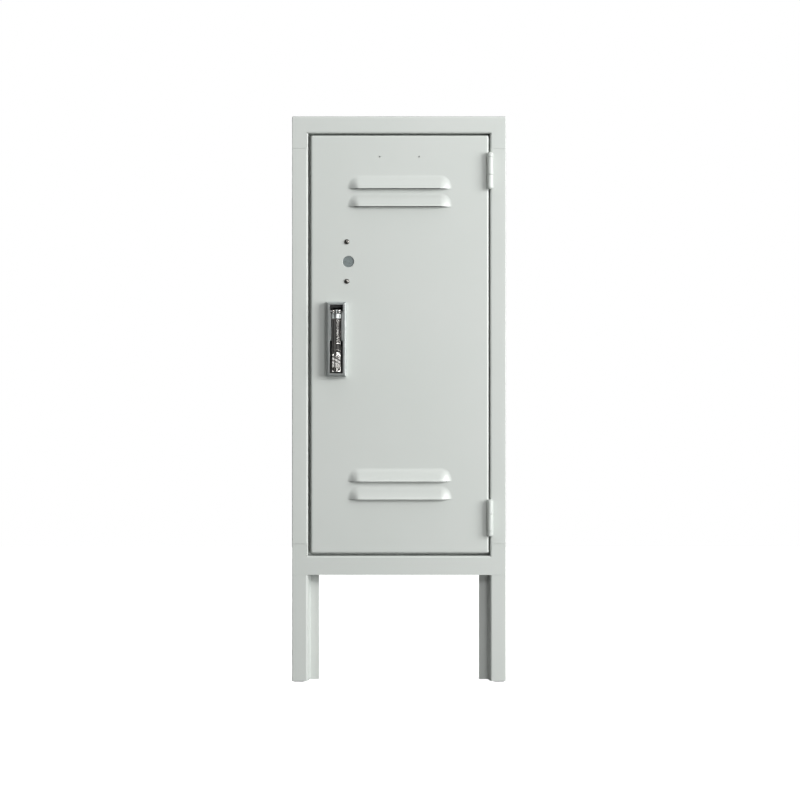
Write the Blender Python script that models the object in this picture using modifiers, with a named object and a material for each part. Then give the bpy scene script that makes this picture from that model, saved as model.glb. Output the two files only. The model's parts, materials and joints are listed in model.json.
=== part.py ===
"""Single-door steel locker cabinet on four legs.

Metres, +Z up, +X to the right of the door, -Y in front. The origin is at the centre of the bounding box's
bottom face. The case stands still, the door turns on two barrel hinges at its right edge, and a lift lever
in the door draws back a sliding latch bolt.
"""

import math

import bmesh
import bpy
from mathutils import Matrix, Vector

# ---------------------------------------------------------------- driving dimensions
CASE_WIDTH = 0.380
CASE_DEPTH = 0.400
TOTAL_HEIGHT = 1.005
LEG_HEIGHT = 0.190

SHEET = 0.0012          # case sheet
LEG_SHEET = 0.0018      # leg sheet
DOOR_SHEET = 0.0010     # door sheet
BEND = 0.0035           # outside radius of a folded edge
STOP_BEND = 0.0010      # inside radius where a jamb turns into its door stop
BEND_STEPS = 3          # flat stretches in one bend
GAP = 0.0003            # between pieces that touch
MERGE = 0.000001        # points closer than this are one point

FACE_WIDTH = 0.0284     # front face of an upright
CAP_RAIL = 0.0305       # front rail over the door
BASE_RAIL = 0.0340      # front rail under the door
CAP_EAR = 0.0570        # corner of the cap, from the top down
BASE_EAR = 0.0550       # corner of the base, from its lower edge up
EAR_STEP = 0.0026       # ear edge to opening edge
STOP_DEPTH = 0.0260     # front face to door stop
STOP_REACH = 0.0186     # door stop, into the opening
REAR_RETURN = 0.0200
RAIL_LAP = 0.0060       # rail sheet above the bend that carries the return

DOOR_DEPTH = 0.0200
DOOR_LIP = 0.0120
HINGE_GAP = 0.0023
LATCH_GAP = 0.0048
DOOR_TOP_GAP = 0.0035
DOOR_BOTTOM_GAP = 0.0045

HINGE_RADIUS = 0.0055
HINGE_LENGTH = 0.0660
HINGE_DOOR_KNUCKLE = 0.0310
HINGE_END_KNUCKLE = 0.0090
HINGE_PIN_RADIUS = 0.0023
HINGE_BORE_RADIUS = 0.0026
HINGE_LEAF_DEPTH = 0.0180
HINGE_INSET_TOP = 0.0340     # opening edge to the end of the barrel
HINGE_INSET_BOTTOM = 0.0346
KNUCKLE_GAP = 0.0005

LOUVRE_LENGTH = 0.1900
LOUVRE_HEIGHT = 0.0275
LOUVRE_PROUD = 0.0090
LOUVRE_END = 0.0106
LOUVRE_PITCH = 0.0318
LOUVRE_TOP_DROP = 0.0950     # door top to the lower edge of the first louvre
LOUVRE_FOOT_RISE = 0.0960    # door bottom to the lower edge of the last louvre
LOUVRE_OFFSET = 0.0012       # louvres sit this far to the right of the case centre

LABEL_HOLE_RADIUS = 0.0012
LABEL_HOLE_SPACING = 0.0700
LABEL_HOLE_DROP = 0.0380

LOCK_FROM_EDGE = 0.0668      # latch-side door edge to the lock hole
LOCK_DROP = 0.2244           # door top to the lock hole
LOCK_HOLE_RADIUS = 0.0100
LOCK_FASTENER_SHIFT = -0.0026
LOCK_FASTENER_SPACING = 0.0702
LOCK_PLATE_WIDTH = 0.0320
LOCK_PLATE_HEIGHT = 0.0900
LOCK_PLATE_SHEET = 0.0015
DOME_RADIUS = 0.0047
DOME_HEIGHT = 0.0026
RIVET_RADIUS = 0.0020
RIVET_TAIL = 0.0040          # fastener behind the blanking plate

HANDLE_FROM_EDGE = 0.0459    # latch-side door edge to the handle's centre line
HANDLE_DROP = 0.3625         # door top to the handle's centre
HANDLE_WIDTH = 0.0355
HANDLE_HEIGHT = 0.1320
HANDLE_BEZEL = 0.0140        # bezel in front of the door
HANDLE_PROUD = 0.0200        # lever lip in front of the door
HANDLE_CHAMFER = 0.0026
HANDLE_SIDE_FLANGE = 0.0040  # bezel past each side of the tub
HANDLE_END_FLANGE = 0.0070   # bezel past each end of the tub
HANDLE_TUB_DEPTH = 0.0120    # tub behind the door's face
HANDLE_FLOOR = 0.0020
HANDLE_CLEAR = 0.0004        # handle tub to its cut-out
POCKET_WIDTH = 0.0184
POCKET_WIDE = 0.0232
POCKET_TOP = 0.0050          # bezel left above the pocket
POCKET_FOOT = 0.0055         # bezel left below the pocket
POCKET_HEAD = 0.0145         # height of the wide head of the pocket
POCKET_WELL = 0.0580         # height of the wide well at the foot

LEVER_WIDTH = 0.0150
LEVER_HUB = 0.0052
LEVER_HEAD_PROUD = 0.0020    # head of the lever in front of the bezel
LEVER_HEAD = 0.0100          # height of the head
LEVER_SETBACK = 0.0015       # finger plate behind the bezel's face
LEVER_BEND_HIGH = 0.0500     # foot of the lever up to where the plate starts to curve in
LEVER_BEND_LOW = 0.0300      # foot of the lever up to the deepest part of the curve
LEVER_CURVE = 0.0060         # depth of the curve behind the bezel's face
LEVER_LIP = 0.0080           # height of the lip's front face
LEVER_LIP_DEPTH = 0.0050
LEVER_PLATE = 0.0035         # finger plate thickness
LEVER_FOOT_GAP = 0.0025      # pocket's lower end to the foot of the lever
LEVER_CORNERS = (0.0010, 0.0015, 0.0020, 0.0030)
LEVER_SWEEPS = (0.0080, 0.0120)
LEVER_TAIL = 0.0050          # tail thickness and width
TAIL_END = 0.0010            # tail past the bolt, and tail to the latch case
LEVER_LIFT_DEG = 25.0
PIVOT_DROP = 0.0160          # housing top to the lever's pivot
PIVOT_DEPTH = 0.0040         # door face back to the pivot
PIN_RADIUS = 0.0015
PIN_BORE_RADIUS = 0.0018
SPRING_WIRE = 0.0008
SPRING_TURNS = 3
HANDLE_SCREW_INSET = 0.0027  # end of the bezel to a screw's axis
HANDLE_SCREW_RADIUS = 0.0012
HANDLE_SCREW_HEAD = 0.0026
HANDLE_SCREW_LENGTH = 0.0080

BOLT_SHEET = 0.0030
BOLT_NOSE = 0.0160           # height of the bolt's nose
BOLT_TRAVEL = 0.0100
BOLT_SHORT = 0.0020          # bolt tip to the edge of the door stop
BOLT_MARGIN = 0.0060         # metal beside and below the slot
BOLT_HEADROOM = 0.0050       # metal above the slot
BOLT_CORNER = 0.0020
BOLT_RAMP = 0.0040           # rounding under the bolt's tip
SLOT_CLEAR = 0.0006
STRIKE_SHEET = 0.0012
STRIKE_HEIGHT = 0.0500
BOLT_BEHIND_STRIKE = 0.0007
CASE_WALL = 0.0012           # latch case sheet
CASE_SIDE = 0.0480
CASE_TALL = 0.0640
CASE_SHIFT = 0.0020          # latch case centre, from the handle's centre line towards the hinges
CASE_DROP = 0.0080           # latch case centre below the pivot
GUIDE_SHEET = 0.0015

LEG_SIDE = 0.0480
LEG_FACE = 0.0275
LEG_SPLAY = 0.0035
LEG_PLATE = 0.0050
LEG_PLATE_REACH = 0.0400
SPIGOT_FACE = 0.0240
SPIGOT_LAP = 0.0100
BOLT_FROM_SIDE = 0.0180
BOLT_FROM_FACE = 0.0375
BOLT_RADIUS = 0.0028
BOLT_HOLE_RADIUS = 0.0032
BOLT_HEAD_RADIUS = 0.0060
BOLT_HEAD_HEIGHT = 0.0035
GLIDE_HEIGHT = 0.0120
GLIDE_PROUD = 0.0015
GLIDE_SIZE = 0.0200
GLIDE_EDGE = 0.0020

FLOOR_SHEET = 0.0012
BACK_SHEET = 0.0010
SHELF_TOP = 0.7400
SHELF_LIP = 0.0200
SHELF_SETBACK = 0.0440       # front face to the shelf's front edge
CLIP_WIDTH = 0.0300
CLIP_ARM = 0.0160
CLIP_RISE = 0.0180
CLIP_FROM_EDGE = 0.0250

BUMPER_RADIUS = 0.0060
BUMPER_EDGE = 0.0015
BUMPER_FROM_END = 0.0700
STIFFENER_WIDTH = 0.0600
STIFFENER_CROWN = 0.0320
STIFFENER_DEPTH = 0.0140
STIFFENER_CLEAR = 0.0200

# ---------------------------------------------------------------- worked out from them
HALF = CASE_WIDTH / 2
FRONT = (HANDLE_PROUD - CASE_DEPTH) / 2
BACK = FRONT + CASE_DEPTH
OPEN_HALF = HALF - FACE_WIDTH
OPEN_BOTTOM = LEG_HEIGHT + BASE_RAIL
OPEN_TOP = TOTAL_HEIGHT - CAP_RAIL
CAP_JOINT = TOTAL_HEIGHT - CAP_EAR
BASE_JOINT = LEG_HEIGHT + BASE_EAR
EAR_EDGE = OPEN_HALF + EAR_STEP
STOP_FACE = FRONT + STOP_DEPTH
STOP_BACK = STOP_FACE + SHEET
STOP_EDGE = OPEN_HALF - STOP_REACH

DOOR_LEFT = -OPEN_HALF + LATCH_GAP
DOOR_RIGHT = OPEN_HALF - HINGE_GAP
DOOR_TOP = OPEN_TOP - DOOR_TOP_GAP
DOOR_BOTTOM = OPEN_BOTTOM + DOOR_BOTTOM_GAP
DOOR_REAR = FRONT + DOOR_DEPTH
SKIN_BACK = FRONT + DOOR_SHEET

# the barrel is as far forward as its clearance from the rounded edge of the side panel asks for
HINGE_PROUD = math.sqrt((HINGE_RADIUS + BEND + GAP) ** 2 - BEND ** 2) - BEND
HINGE_X = OPEN_HALF
HINGE_Y = FRONT - HINGE_PROUD
# two leaves and three clearances share the gap beside the door
HINGE_LEAF = (HINGE_GAP - 3 * GAP) / 2

LOCK_X = DOOR_LEFT + LOCK_FROM_EDGE
LOCK_Z = DOOR_TOP - LOCK_DROP
LOCK_FASTENERS = [
    (LOCK_X + LOCK_FASTENER_SHIFT, LOCK_Z + LOCK_FASTENER_SPACING / 2),
    (LOCK_X + LOCK_FASTENER_SHIFT, LOCK_Z - LOCK_FASTENER_SPACING / 2),
]

HANDLE_TUB_WIDTH = HANDLE_WIDTH - 2 * HANDLE_SIDE_FLANGE
HANDLE_TUB_HEIGHT = HANDLE_HEIGHT - 2 * HANDLE_END_FLANGE
HANDLE_X = DOOR_LEFT + HANDLE_FROM_EDGE
HANDLE_Z = DOOR_TOP - HANDLE_DROP
HANDLE_TOP = HANDLE_Z + HANDLE_HEIGHT / 2
HANDLE_FOOT = HANDLE_Z - HANDLE_HEIGHT / 2
PIVOT_Y = FRONT + PIVOT_DEPTH
PIVOT_Z = HANDLE_TOP - PIVOT_DROP
LEVER_LIFT = math.radians(LEVER_LIFT_DEG)

BOLT_FRONT = STOP_BACK + GAP + STRIKE_SHEET + BOLT_BEHIND_STRIKE
BOLT_BACK = BOLT_FRONT + BOLT_SHEET
BOLT_ARM = (BOLT_FRONT + BOLT_BACK) / 2 - PIVOT_Y
TAIL_DROP = BOLT_ARM * math.tan(LEVER_LIFT)
TAIL_LENGTH = (BOLT_BACK - PIVOT_Y) / math.cos(LEVER_LIFT) + TAIL_END
CASE_BACK = PIVOT_Y + TAIL_LENGTH + TAIL_END + CASE_WALL

LEG_INSET = SHEET + GAP
FLOOR_TOP = OPEN_BOTTOM
FLOOR_BOTTOM = FLOOR_TOP - FLOOR_SHEET
LEG_TOP = FLOOR_BOTTOM - 2 * GAP
BACK_FACE = BACK - SHEET - GAP - BACK_SHEET

LOUVRE_FEET = (
    DOOR_TOP - LOUVRE_TOP_DROP,
    DOOR_TOP - LOUVRE_TOP_DROP - LOUVRE_PITCH,
    DOOR_BOTTOM + LOUVRE_FOOT_RISE + LOUVRE_PITCH,
    DOOR_BOTTOM + LOUVRE_FOOT_RISE,
)

HANDLE_SCREWS = (HANDLE_TOP - HANDLE_SCREW_INSET, HANDLE_FOOT + HANDLE_SCREW_INSET)

PARTS = "locker_cabinet"
HELPERS = "cutters"


# ---------------------------------------------------------------- scene helpers
def clear_scene():
    for old in list(bpy.data.objects):
        bpy.data.objects.remove(old, do_unlink=True)


def collection(name):
    found = bpy.data.collections.get(name)
    if found is None:
        found = bpy.data.collections.new(name)
        bpy.context.scene.collection.children.link(found)
    return found


def principled(name, color, roughness, metallic):
    made = bpy.data.materials.new(name)
    made.use_nodes = True
    shader = made.node_tree.nodes["Principled BSDF"]
    shader.inputs["Base Color"].default_value = (*color, 1.0)
    shader.inputs["Roughness"].default_value = roughness
    shader.inputs["Metallic"].default_value = metallic
    return made


PAINT = ((0.60, 0.64, 0.60), 0.45, 0.0)
CHROME = ((0.78, 0.79, 0.80), 0.12, 1.0)
STEEL = ((0.42, 0.44, 0.45), 0.38, 1.0)
GREY_STEEL = ((0.20, 0.23, 0.23), 0.50, 1.0)
DARK_STEEL = ((0.12, 0.13, 0.14), 0.35, 1.0)
BLACK_PLASTIC = ((0.02, 0.02, 0.02), 0.55, 0.0)
RUBBER = ((0.30, 0.31, 0.31), 0.80, 0.0)


def add_object(name, mesh, finish=None):
    """A part of the locker when it has a finish, otherwise a helper for a Boolean."""
    made = bpy.data.objects.new(name, mesh)
    if finish is None:
        collection(HELPERS).objects.link(made)
        made.hide_render = True
        made.display_type = "WIRE"
    else:
        collection(PARTS).objects.link(made)
        mesh.materials.append(principled(name, *finish))
    return made


def from_bmesh(name, bm, finish=None):
    bmesh.ops.recalc_face_normals(bm, faces=bm.faces)
    mesh = bpy.data.meshes.new(name)
    bm.to_mesh(mesh)
    bm.free()
    return add_object(name, mesh, finish)


def smooth(thing, angle_deg=35.0):
    thing.data.shade_smooth()
    thing.data.set_sharp_from_angle(angle=math.radians(angle_deg))
    return thing


def combine(thing, other, operation):
    step = thing.modifiers.new(operation.lower(), "BOOLEAN")
    step.operation = operation
    step.object = other
    step.solver = "EXACT"
    return thing


def cut(thing, *cutters):
    for cutter in cutters:
        combine(thing, cutter, "DIFFERENCE")
    return thing


def weld_on(thing, *others):
    for other in others:
        combine(thing, other, "UNION")
    return thing


def solidify(thing, thickness):
    step = thing.modifiers.new("sheet", "SOLIDIFY")
    step.thickness = thickness
    step.offset = -1.0
    step.use_even_offset = True
    return thing


def bevel(thing, width, segments=BEND_STEPS):
    step = thing.modifiers.new("edges", "BEVEL")
    step.width = width
    step.segments = segments
    step.limit_method = "ANGLE"
    step.angle_limit = math.radians(40.0)
    return thing


# ---------------------------------------------------------------- shape helpers
def cube_bmesh(low, high):
    bm = bmesh.new()
    bmesh.ops.create_cube(bm, size=1.0)
    low = Vector(low)
    high = Vector(high)
    for vert in bm.verts:
        for axis in range(3):
            middle = (low[axis] + high[axis]) / 2
            vert.co[axis] = middle + vert.co[axis] * (high[axis] - low[axis])
    return bm


def box(name, low, high, finish=None):
    return from_bmesh(name, cube_bmesh(low, high), finish)


def corners(x_a, x_b, y_a, y_b, z_a, z_b):
    low = (min(x_a, x_b), min(y_a, y_b), min(z_a, z_b))
    high = (max(x_a, x_b), max(y_a, y_b), max(z_a, z_b))
    return low, high


def faces_towards(bm, direction):
    return [face for face in bm.faces if face.normal.dot(Vector(direction)) > 0.9]


def open_box(name, low, high, open_sides, thickness, radius, finish):
    """A box of sheet, without the faces that look towards open_sides, with rounded folds."""
    bm = cube_bmesh(low, high)
    bm.normal_update()
    gone = []
    for side in open_sides:
        gone.extend(faces_towards(bm, side))
    bmesh.ops.delete(bm, geom=gone, context="FACES")
    made = from_bmesh(name, bm, finish)
    bevel(made, radius)
    solidify(made, thickness)
    return smooth(made)


AXIS_TURN = {
    "X": Matrix.Rotation(math.radians(90.0), 4, "Y"),
    "Y": Matrix.Rotation(math.radians(-90.0), 4, "X"),
    "-Y": Matrix.Rotation(math.radians(90.0), 4, "X"),
    "Z": Matrix.Identity(4),
}


def cylinder(name, radius, start, length, axis, finish=None, segments=20):
    """A round bar that starts at a point and runs along its axis."""
    bm = bmesh.new()
    bmesh.ops.create_cone(
        bm,
        cap_ends=True,
        segments=segments,
        radius1=radius,
        radius2=radius,
        depth=length,
        matrix=Matrix.Translation((0, 0, length / 2)),
    )
    bmesh.ops.transform(bm, matrix=Matrix.Translation(start) @ AXIS_TURN[axis], verts=bm.verts)
    return smooth(from_bmesh(name, bm, finish))


def turned(name, profile, origin, axis, finish, steps=16):
    """A profile of (radius, height) points, from the top end's centre down to the bottom end's."""
    mesh = bpy.data.meshes.new(name)
    edges = [(i, i + 1) for i in range(len(profile) - 1)]
    mesh.from_pydata([(radius, 0, height) for radius, height in profile], edges, [])
    made = add_object(name, mesh, finish)
    made.matrix_world = Matrix.Translation(origin) @ AXIS_TURN[axis]
    step = made.modifiers.new("turn", "SCREW")
    step.steps = steps
    step.render_steps = steps
    step.use_merge_vertices = True
    step.merge_threshold = MERGE
    step.use_smooth_shade = True
    return made


def arc(centre, radius, start_deg, end_deg, steps):
    points = []
    for i in range(steps + 1):
        angle = math.radians(start_deg + (end_deg - start_deg) * i / steps)
        points.append((centre[0] + radius * math.cos(angle), centre[1] + radius * math.sin(angle)))
    return points


def rounded(points, closed=False, steps=BEND_STEPS):
    """Replaces each (u, v, radius) corner of a path by an arc, and keeps each (u, v) corner sharp."""
    result = []
    count = len(points)
    for i, point in enumerate(points):
        corner = Vector(point[:2])
        inner = closed or 0 < i < count - 1
        if len(point) < 3 or not inner:
            result.append(tuple(corner))
            continue
        before = (Vector(points[i - 1][:2]) - corner).normalized()
        after = (Vector(points[(i + 1) % count][:2]) - corner).normalized()
        half_angle = before.angle(after) / 2
        centre = corner + (before + after).normalized() * point[2] / math.sin(half_angle)
        first = corner + before * point[2] / math.tan(half_angle)
        sweep = (first - centre).angle_signed(corner + after * point[2] / math.tan(half_angle) - centre)
        for step in range(steps + 1):
            turn = Matrix.Rotation(-sweep * step / steps, 2)
            result.append(tuple(centre + turn @ (first - centre)))
    return result


def place(axis, u, v, along):
    """A profile point (u, v) at a distance along its axis: (x, y) for Z, (y, z) for X, (z, x) for Y."""
    if axis == "Z":
        return (u, v, along)
    if axis == "X":
        return (along, u, v)
    return (v, along, u)


def folded(name, path, axis, start, end, thickness, finish=None):
    """Sheet folded along a path, with its metal to the left of the path's direction."""
    bm = bmesh.new()
    lower = [bm.verts.new(place(axis, u, v, start)) for u, v in rounded(path)]
    edges = [bm.edges.new(pair) for pair in zip(lower, lower[1:])]
    grown = bmesh.ops.extrude_edge_only(bm, edges=edges)["geom"]
    rise = Vector(place(axis, 0.0, 0.0, end - start))
    bmesh.ops.translate(bm, vec=rise, verts=[g for g in grown if isinstance(g, bmesh.types.BMVert)])
    bm.normal_update()
    heading = Vector(place(axis, *(b - a for a, b in zip(path[0][:2], path[1][:2])), 0.0))
    first = min(bm.faces, key=lambda face: (face.calc_center_median() - lower[0].co).length)
    if first.normal.dot(heading.cross(rise)) < 0:
        bmesh.ops.reverse_faces(bm, faces=bm.faces)
    mesh = bpy.data.meshes.new(name)
    bm.to_mesh(mesh)
    bm.free()
    made = solidify(add_object(name, mesh, finish), thickness)
    return smooth(made)


def mirrored(path):
    """The same path on the other side of the case, still with its metal to the left."""
    return [(-point[0], *point[1:]) for point in reversed(path)]


PLATE_TURN = {
    "X": Matrix(((0, 0, 1), (1, 0, 0), (0, 1, 0))).to_4x4(),
    "Y": Matrix(((1, 0, 0), (0, 0, -1), (0, 1, 0))).to_4x4(),
}


def plate(name, outlines, axis, middle, thickness, finish):
    """Flat outlines, the first one outside and the others holes: (y, z) across X, or (x, z) across Y."""
    curve = bpy.data.curves.new(name, "CURVE")
    curve.dimensions = "2D"
    curve.fill_mode = "BOTH"
    curve.extrude = thickness / 2
    for outline in outlines:
        spline = curve.splines.new("POLY")
        spline.points.add(len(outline) - 1)
        for point, (u, v) in zip(spline.points, outline):
            point.co = (u, v, 0.0, 1.0)
        spline.use_cyclic_u = True
    flat = bpy.data.objects.new(name + "_outline", curve)
    collection(HELPERS).objects.link(flat)
    shift = Vector((middle, 0, 0)) if axis == "X" else Vector((0, middle, 0))
    flat.matrix_world = Matrix.Translation(shift) @ PLATE_TURN[axis]
    bpy.context.view_layer.update()
    evaluated = flat.evaluated_get(bpy.context.evaluated_depsgraph_get())
    mesh = bpy.data.meshes.new_from_object(evaluated)
    bm = bmesh.new()
    bm.from_mesh(mesh)
    bmesh.ops.remove_doubles(bm, verts=bm.verts, dist=MERGE)
    bmesh.ops.transform(bm, matrix=flat.matrix_world, verts=bm.verts)
    bpy.data.meshes.remove(mesh)
    bpy.data.objects.remove(flat, do_unlink=True)
    return smooth(from_bmesh(name, bm, finish))


# ---------------------------------------------------------------- case
def side_path():
    return [
        (-HALF + REAR_RETURN, BACK),
        (-HALF, BACK, BEND),
        (-HALF, FRONT, BEND),
        (-OPEN_HALF, FRONT, BEND),
        (-OPEN_HALF, STOP_FACE, STOP_BEND),
        (-STOP_EDGE, STOP_FACE),
    ]


def side_panel(name, side):
    """Rear return, side, front face, jamb and stop in one sheet, notched for the cap and the base."""
    path = side_path() if side < 0 else mirrored(side_path())
    made = folded(name, path, "Z", OPEN_BOTTOM + GAP, OPEN_TOP - GAP, SHEET, PAINT)
    outer = side * (HALF + BEND)
    edge = side * (EAR_EDGE - GAP)
    far = side * (STOP_EDGE - BEND)
    behind_jamb = side * (OPEN_HALF + 3 * SHEET)
    for label, low, high in (
        ("base", OPEN_BOTTOM - BEND, BASE_JOINT + GAP),
        ("cap", CAP_JOINT - GAP, OPEN_TOP + BEND),
    ):
        cut(made, box(f"{name}_{label}_notch", *corners(outer, edge, FRONT - BEND, BACK + BEND, low, high)))
    for label, near, low, high in (
        ("sill", STOP_FACE, OPEN_BOTTOM - BEND, OPEN_BOTTOM + STOP_REACH + GAP),
        ("sill_corner", STOP_FACE - STOP_BEND, OPEN_BOTTOM - BEND, OPEN_BOTTOM + STOP_BEND + GAP),
        ("header", STOP_FACE, OPEN_TOP - STOP_REACH - GAP, OPEN_TOP + BEND),
        ("header_corner", STOP_FACE - STOP_BEND, OPEN_TOP - STOP_BEND - GAP, OPEN_TOP + BEND),
    ):
        span = corners(behind_jamb, far, near - GAP, STOP_BACK + BEND, low, high)
        cut(made, box(f"{name}_{label}_notch", *span))
    return made


def door_notch(name, low, high):
    return box(name, (-EAR_EDGE, FRONT - BEND, low), (EAR_EDGE, FRONT + 2 * BEND, high))


def top_cap():
    cap = open_box(
        "top_cap",
        (-HALF, FRONT, CAP_JOINT),
        (HALF, BACK, TOTAL_HEIGHT),
        [(0, 0, -1)],
        SHEET,
        BEND,
        PAINT,
    )
    cut(cap, door_notch("cap_notch", CAP_JOINT - BEND, OPEN_TOP + RAIL_LAP))
    path = [
        (FRONT, OPEN_TOP + 2 * RAIL_LAP),
        (FRONT, OPEN_TOP, BEND),
        (STOP_FACE, OPEN_TOP, STOP_BEND),
        (STOP_FACE, OPEN_TOP - STOP_REACH),
    ]
    reach = EAR_EDGE + SHEET
    return weld_on(cap, folded("cap_header", path, "X", -reach, reach, SHEET))


def bottom_base():
    base = open_box(
        "bottom_base",
        (-HALF, FRONT, LEG_HEIGHT),
        (HALF, BACK, BASE_JOINT),
        [(0, 0, -1), (0, 0, 1)],
        SHEET,
        BEND,
        PAINT,
    )
    cut(base, door_notch("base_notch", OPEN_BOTTOM - RAIL_LAP, BASE_JOINT + BEND))
    path = [
        (STOP_FACE, OPEN_BOTTOM + STOP_REACH),
        (STOP_FACE, OPEN_BOTTOM, STOP_BEND),
        (FRONT, OPEN_BOTTOM, BEND),
        (FRONT, OPEN_BOTTOM - 2 * RAIL_LAP),
    ]
    reach = EAR_EDGE + SHEET
    return weld_on(base, folded("base_sill", path, "X", -reach, reach, SHEET))


def leg_points(inset):
    """Side wall, front face, splayed return and flange, as distances from the outer corner."""
    return [
        (inset, LEG_SIDE),
        (inset, inset, BEND),
        (LEG_FACE, inset, BEND),
        (LEG_FACE + LEG_SPLAY, STOP_DEPTH, STOP_BEND),
        (HALF - STOP_EDGE, STOP_DEPTH),
    ]


def corner_path(points, side, end):
    """Distances from an outer corner of the case, on side -1 or 1, at the front (-1) or back (1)."""
    wall = FRONT if end < 0 else BACK
    path = [(side * (HALF - point[0]), wall - end * point[1], *point[2:]) for point in points]
    return path if side * end > 0 else list(reversed(path))


def bolt_place(side, end):
    wall = FRONT if end < 0 else BACK
    return side * (HALF - BOLT_FROM_SIDE), wall - end * BOLT_FROM_FACE


def leg(name, side, end):
    """Folded leg, with an inner spigot inside the base and a plate that bolts up to the floor."""
    points = leg_points(0.0) if end < 0 else leg_points(0.0)[:3]
    made = folded(name, corner_path(points, side, end), "Z", GLIDE_PROUD, LEG_HEIGHT - GAP, LEG_SHEET, PAINT)
    spigot_bend = BEND - LEG_INSET
    spigot = corner_path(
        [(LEG_INSET, LEG_SIDE), (LEG_INSET, LEG_INSET, spigot_bend), (SPIGOT_FACE, LEG_INSET)], side, end
    )
    low = LEG_HEIGHT - SPIGOT_LAP
    weld_on(made, folded(name + "_spigot", spigot, "Z", low, LEG_TOP - GAP, LEG_SHEET))
    wall = FRONT if end < 0 else BACK
    inner = LEG_INSET + LEG_SHEET / 2
    span = corners(
        side * (HALF - inner),
        side * (HALF - LEG_PLATE_REACH),
        wall - end * inner,
        wall - end * (LEG_SIDE - GAP),
        LEG_TOP - LEG_PLATE,
        LEG_TOP,
    )
    weld_on(made, box(name + "_plate", *span))
    x, y = bolt_place(side, end)
    start = (x, y, LEG_TOP - 2 * LEG_PLATE)
    return cut(made, cylinder(name + "_hole", BOLT_HOLE_RADIUS, start, 3 * LEG_PLATE, "Z"))


def glide(name, side, end):
    """Plastic foot inside the leg's corner, a little lower than the sheet's edge."""
    wall = FRONT if end < 0 else BACK
    near = LEG_SHEET + GAP
    span = corners(
        side * (HALF - near),
        side * (HALF - near - GLIDE_SIZE),
        wall - end * near,
        wall - end * (near + GLIDE_SIZE),
        0.0,
        GLIDE_HEIGHT,
    )
    return bevel(box(name, *span, BLACK_PLASTIC), GLIDE_EDGE, 2)


def leg_bolt(name, side, end):
    x, y = bolt_place(side, end)
    head = arc((0.0, GAP), BOLT_HEAD_RADIUS, 90, 0, 4)
    flattened = [(r, GAP + (h - GAP) * BOLT_HEAD_HEIGHT / BOLT_HEAD_RADIUS) for r, h in head]
    foot = -(FLOOR_SHEET + LEG_PLATE + 2 * GAP)
    profile = flattened + [(BOLT_RADIUS, GAP), (BOLT_RADIUS, foot), (0.0, foot)]
    return turned(name, profile, (x, y, FLOOR_TOP), "Z", STEEL, 12)


def floor_panel():
    inset = SHEET + GAP
    low = (-HALF + inset, STOP_BACK + GAP, FLOOR_BOTTOM)
    high = (HALF - inset, BACK - inset, FLOOR_TOP)
    bm = cube_bmesh(low, high)
    upright = [edge for edge in bm.edges if abs(edge.verts[0].co.z - edge.verts[1].co.z) > FLOOR_SHEET / 2]
    bmesh.ops.bevel(bm, geom=upright, offset=BEND, segments=BEND_STEPS, affect="EDGES", profile=0.5)
    made = from_bmesh("floor_panel", bm, PAINT)
    for side in (-1, 1):
        for end in (-1, 1):
            x, y = bolt_place(side, end)
            start = (x, y, FLOOR_BOTTOM - FLOOR_SHEET)
            cut(made, cylinder(f"floor_hole_{side}_{end}", BOLT_HOLE_RADIUS, start, 3 * FLOOR_SHEET, "Z"))
    return made


def back_panel():
    half = HALF - BEND - GAP
    low = (-half, BACK_FACE, FLOOR_TOP + GAP)
    high = (half, BACK_FACE + BACK_SHEET, TOTAL_HEIGHT - SHEET - BEND)
    return box("back_panel", low, high, PAINT)


def shelf():
    front = FRONT + SHELF_SETBACK
    rear = BACK_FACE - GAP
    path = [
        (front + SHELF_LIP / 2, SHELF_TOP - SHELF_LIP),
        (front, SHELF_TOP - SHELF_LIP, 2 * SHEET),
        (front, SHELF_TOP, 2 * SHEET),
        (rear, SHELF_TOP, 2 * SHEET),
        (rear, SHELF_TOP - SHELF_LIP),
    ]
    half = HALF - SHEET - 2 * GAP
    return folded("shelf", list(reversed(path)), "X", -half, half, SHEET, PAINT)


def shelf_clip(name, side, y):
    """Angle on the side panel, under the shelf."""
    wall = HALF - SHEET - GAP
    under = SHELF_TOP - SHEET - GAP
    path = [
        (under, side * (wall - CLIP_ARM)),
        (under, side * wall, 2 * SHEET),
        (under - CLIP_RISE, side * wall),
    ]
    if side < 0:
        path.reverse()
    return folded(name, path, "Y", y - CLIP_WIDTH / 2, y + CLIP_WIDTH / 2, SHEET, STEEL)


def strike_plate():
    low = (-OPEN_HALF + BEND, STOP_BACK + GAP, PIVOT_Z - STRIKE_HEIGHT / 2 - CASE_DROP)
    high = (-STOP_EDGE, STOP_BACK + GAP + STRIKE_SHEET, PIVOT_Z + STRIKE_HEIGHT / 2 - CASE_DROP)
    return box("strike_plate", low, high, STEEL)


def door_bumper(name, z):
    """Rubber button on the stop, just clear of the closed door's lip."""
    x = -(OPEN_HALF + STOP_EDGE) / 2
    reach = STOP_FACE - DOOR_REAR - 2 * GAP
    edge_centre = (BUMPER_RADIUS - BUMPER_EDGE, reach - BUMPER_EDGE)
    profile = [(0.0, reach)] + arc(edge_centre, BUMPER_EDGE, 90, 0, 3)
    profile += [(BUMPER_RADIUS, 0.0), (0.0, 0.0)]
    return turned(name, profile, (x, STOP_FACE - GAP, z), "-Y", RUBBER, 14)


# ---------------------------------------------------------------- hinges
def knuckle(name, low, high):
    return cylinder(name, HINGE_RADIUS, (HINGE_X, HINGE_Y, low), high - low, "Z")


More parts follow.
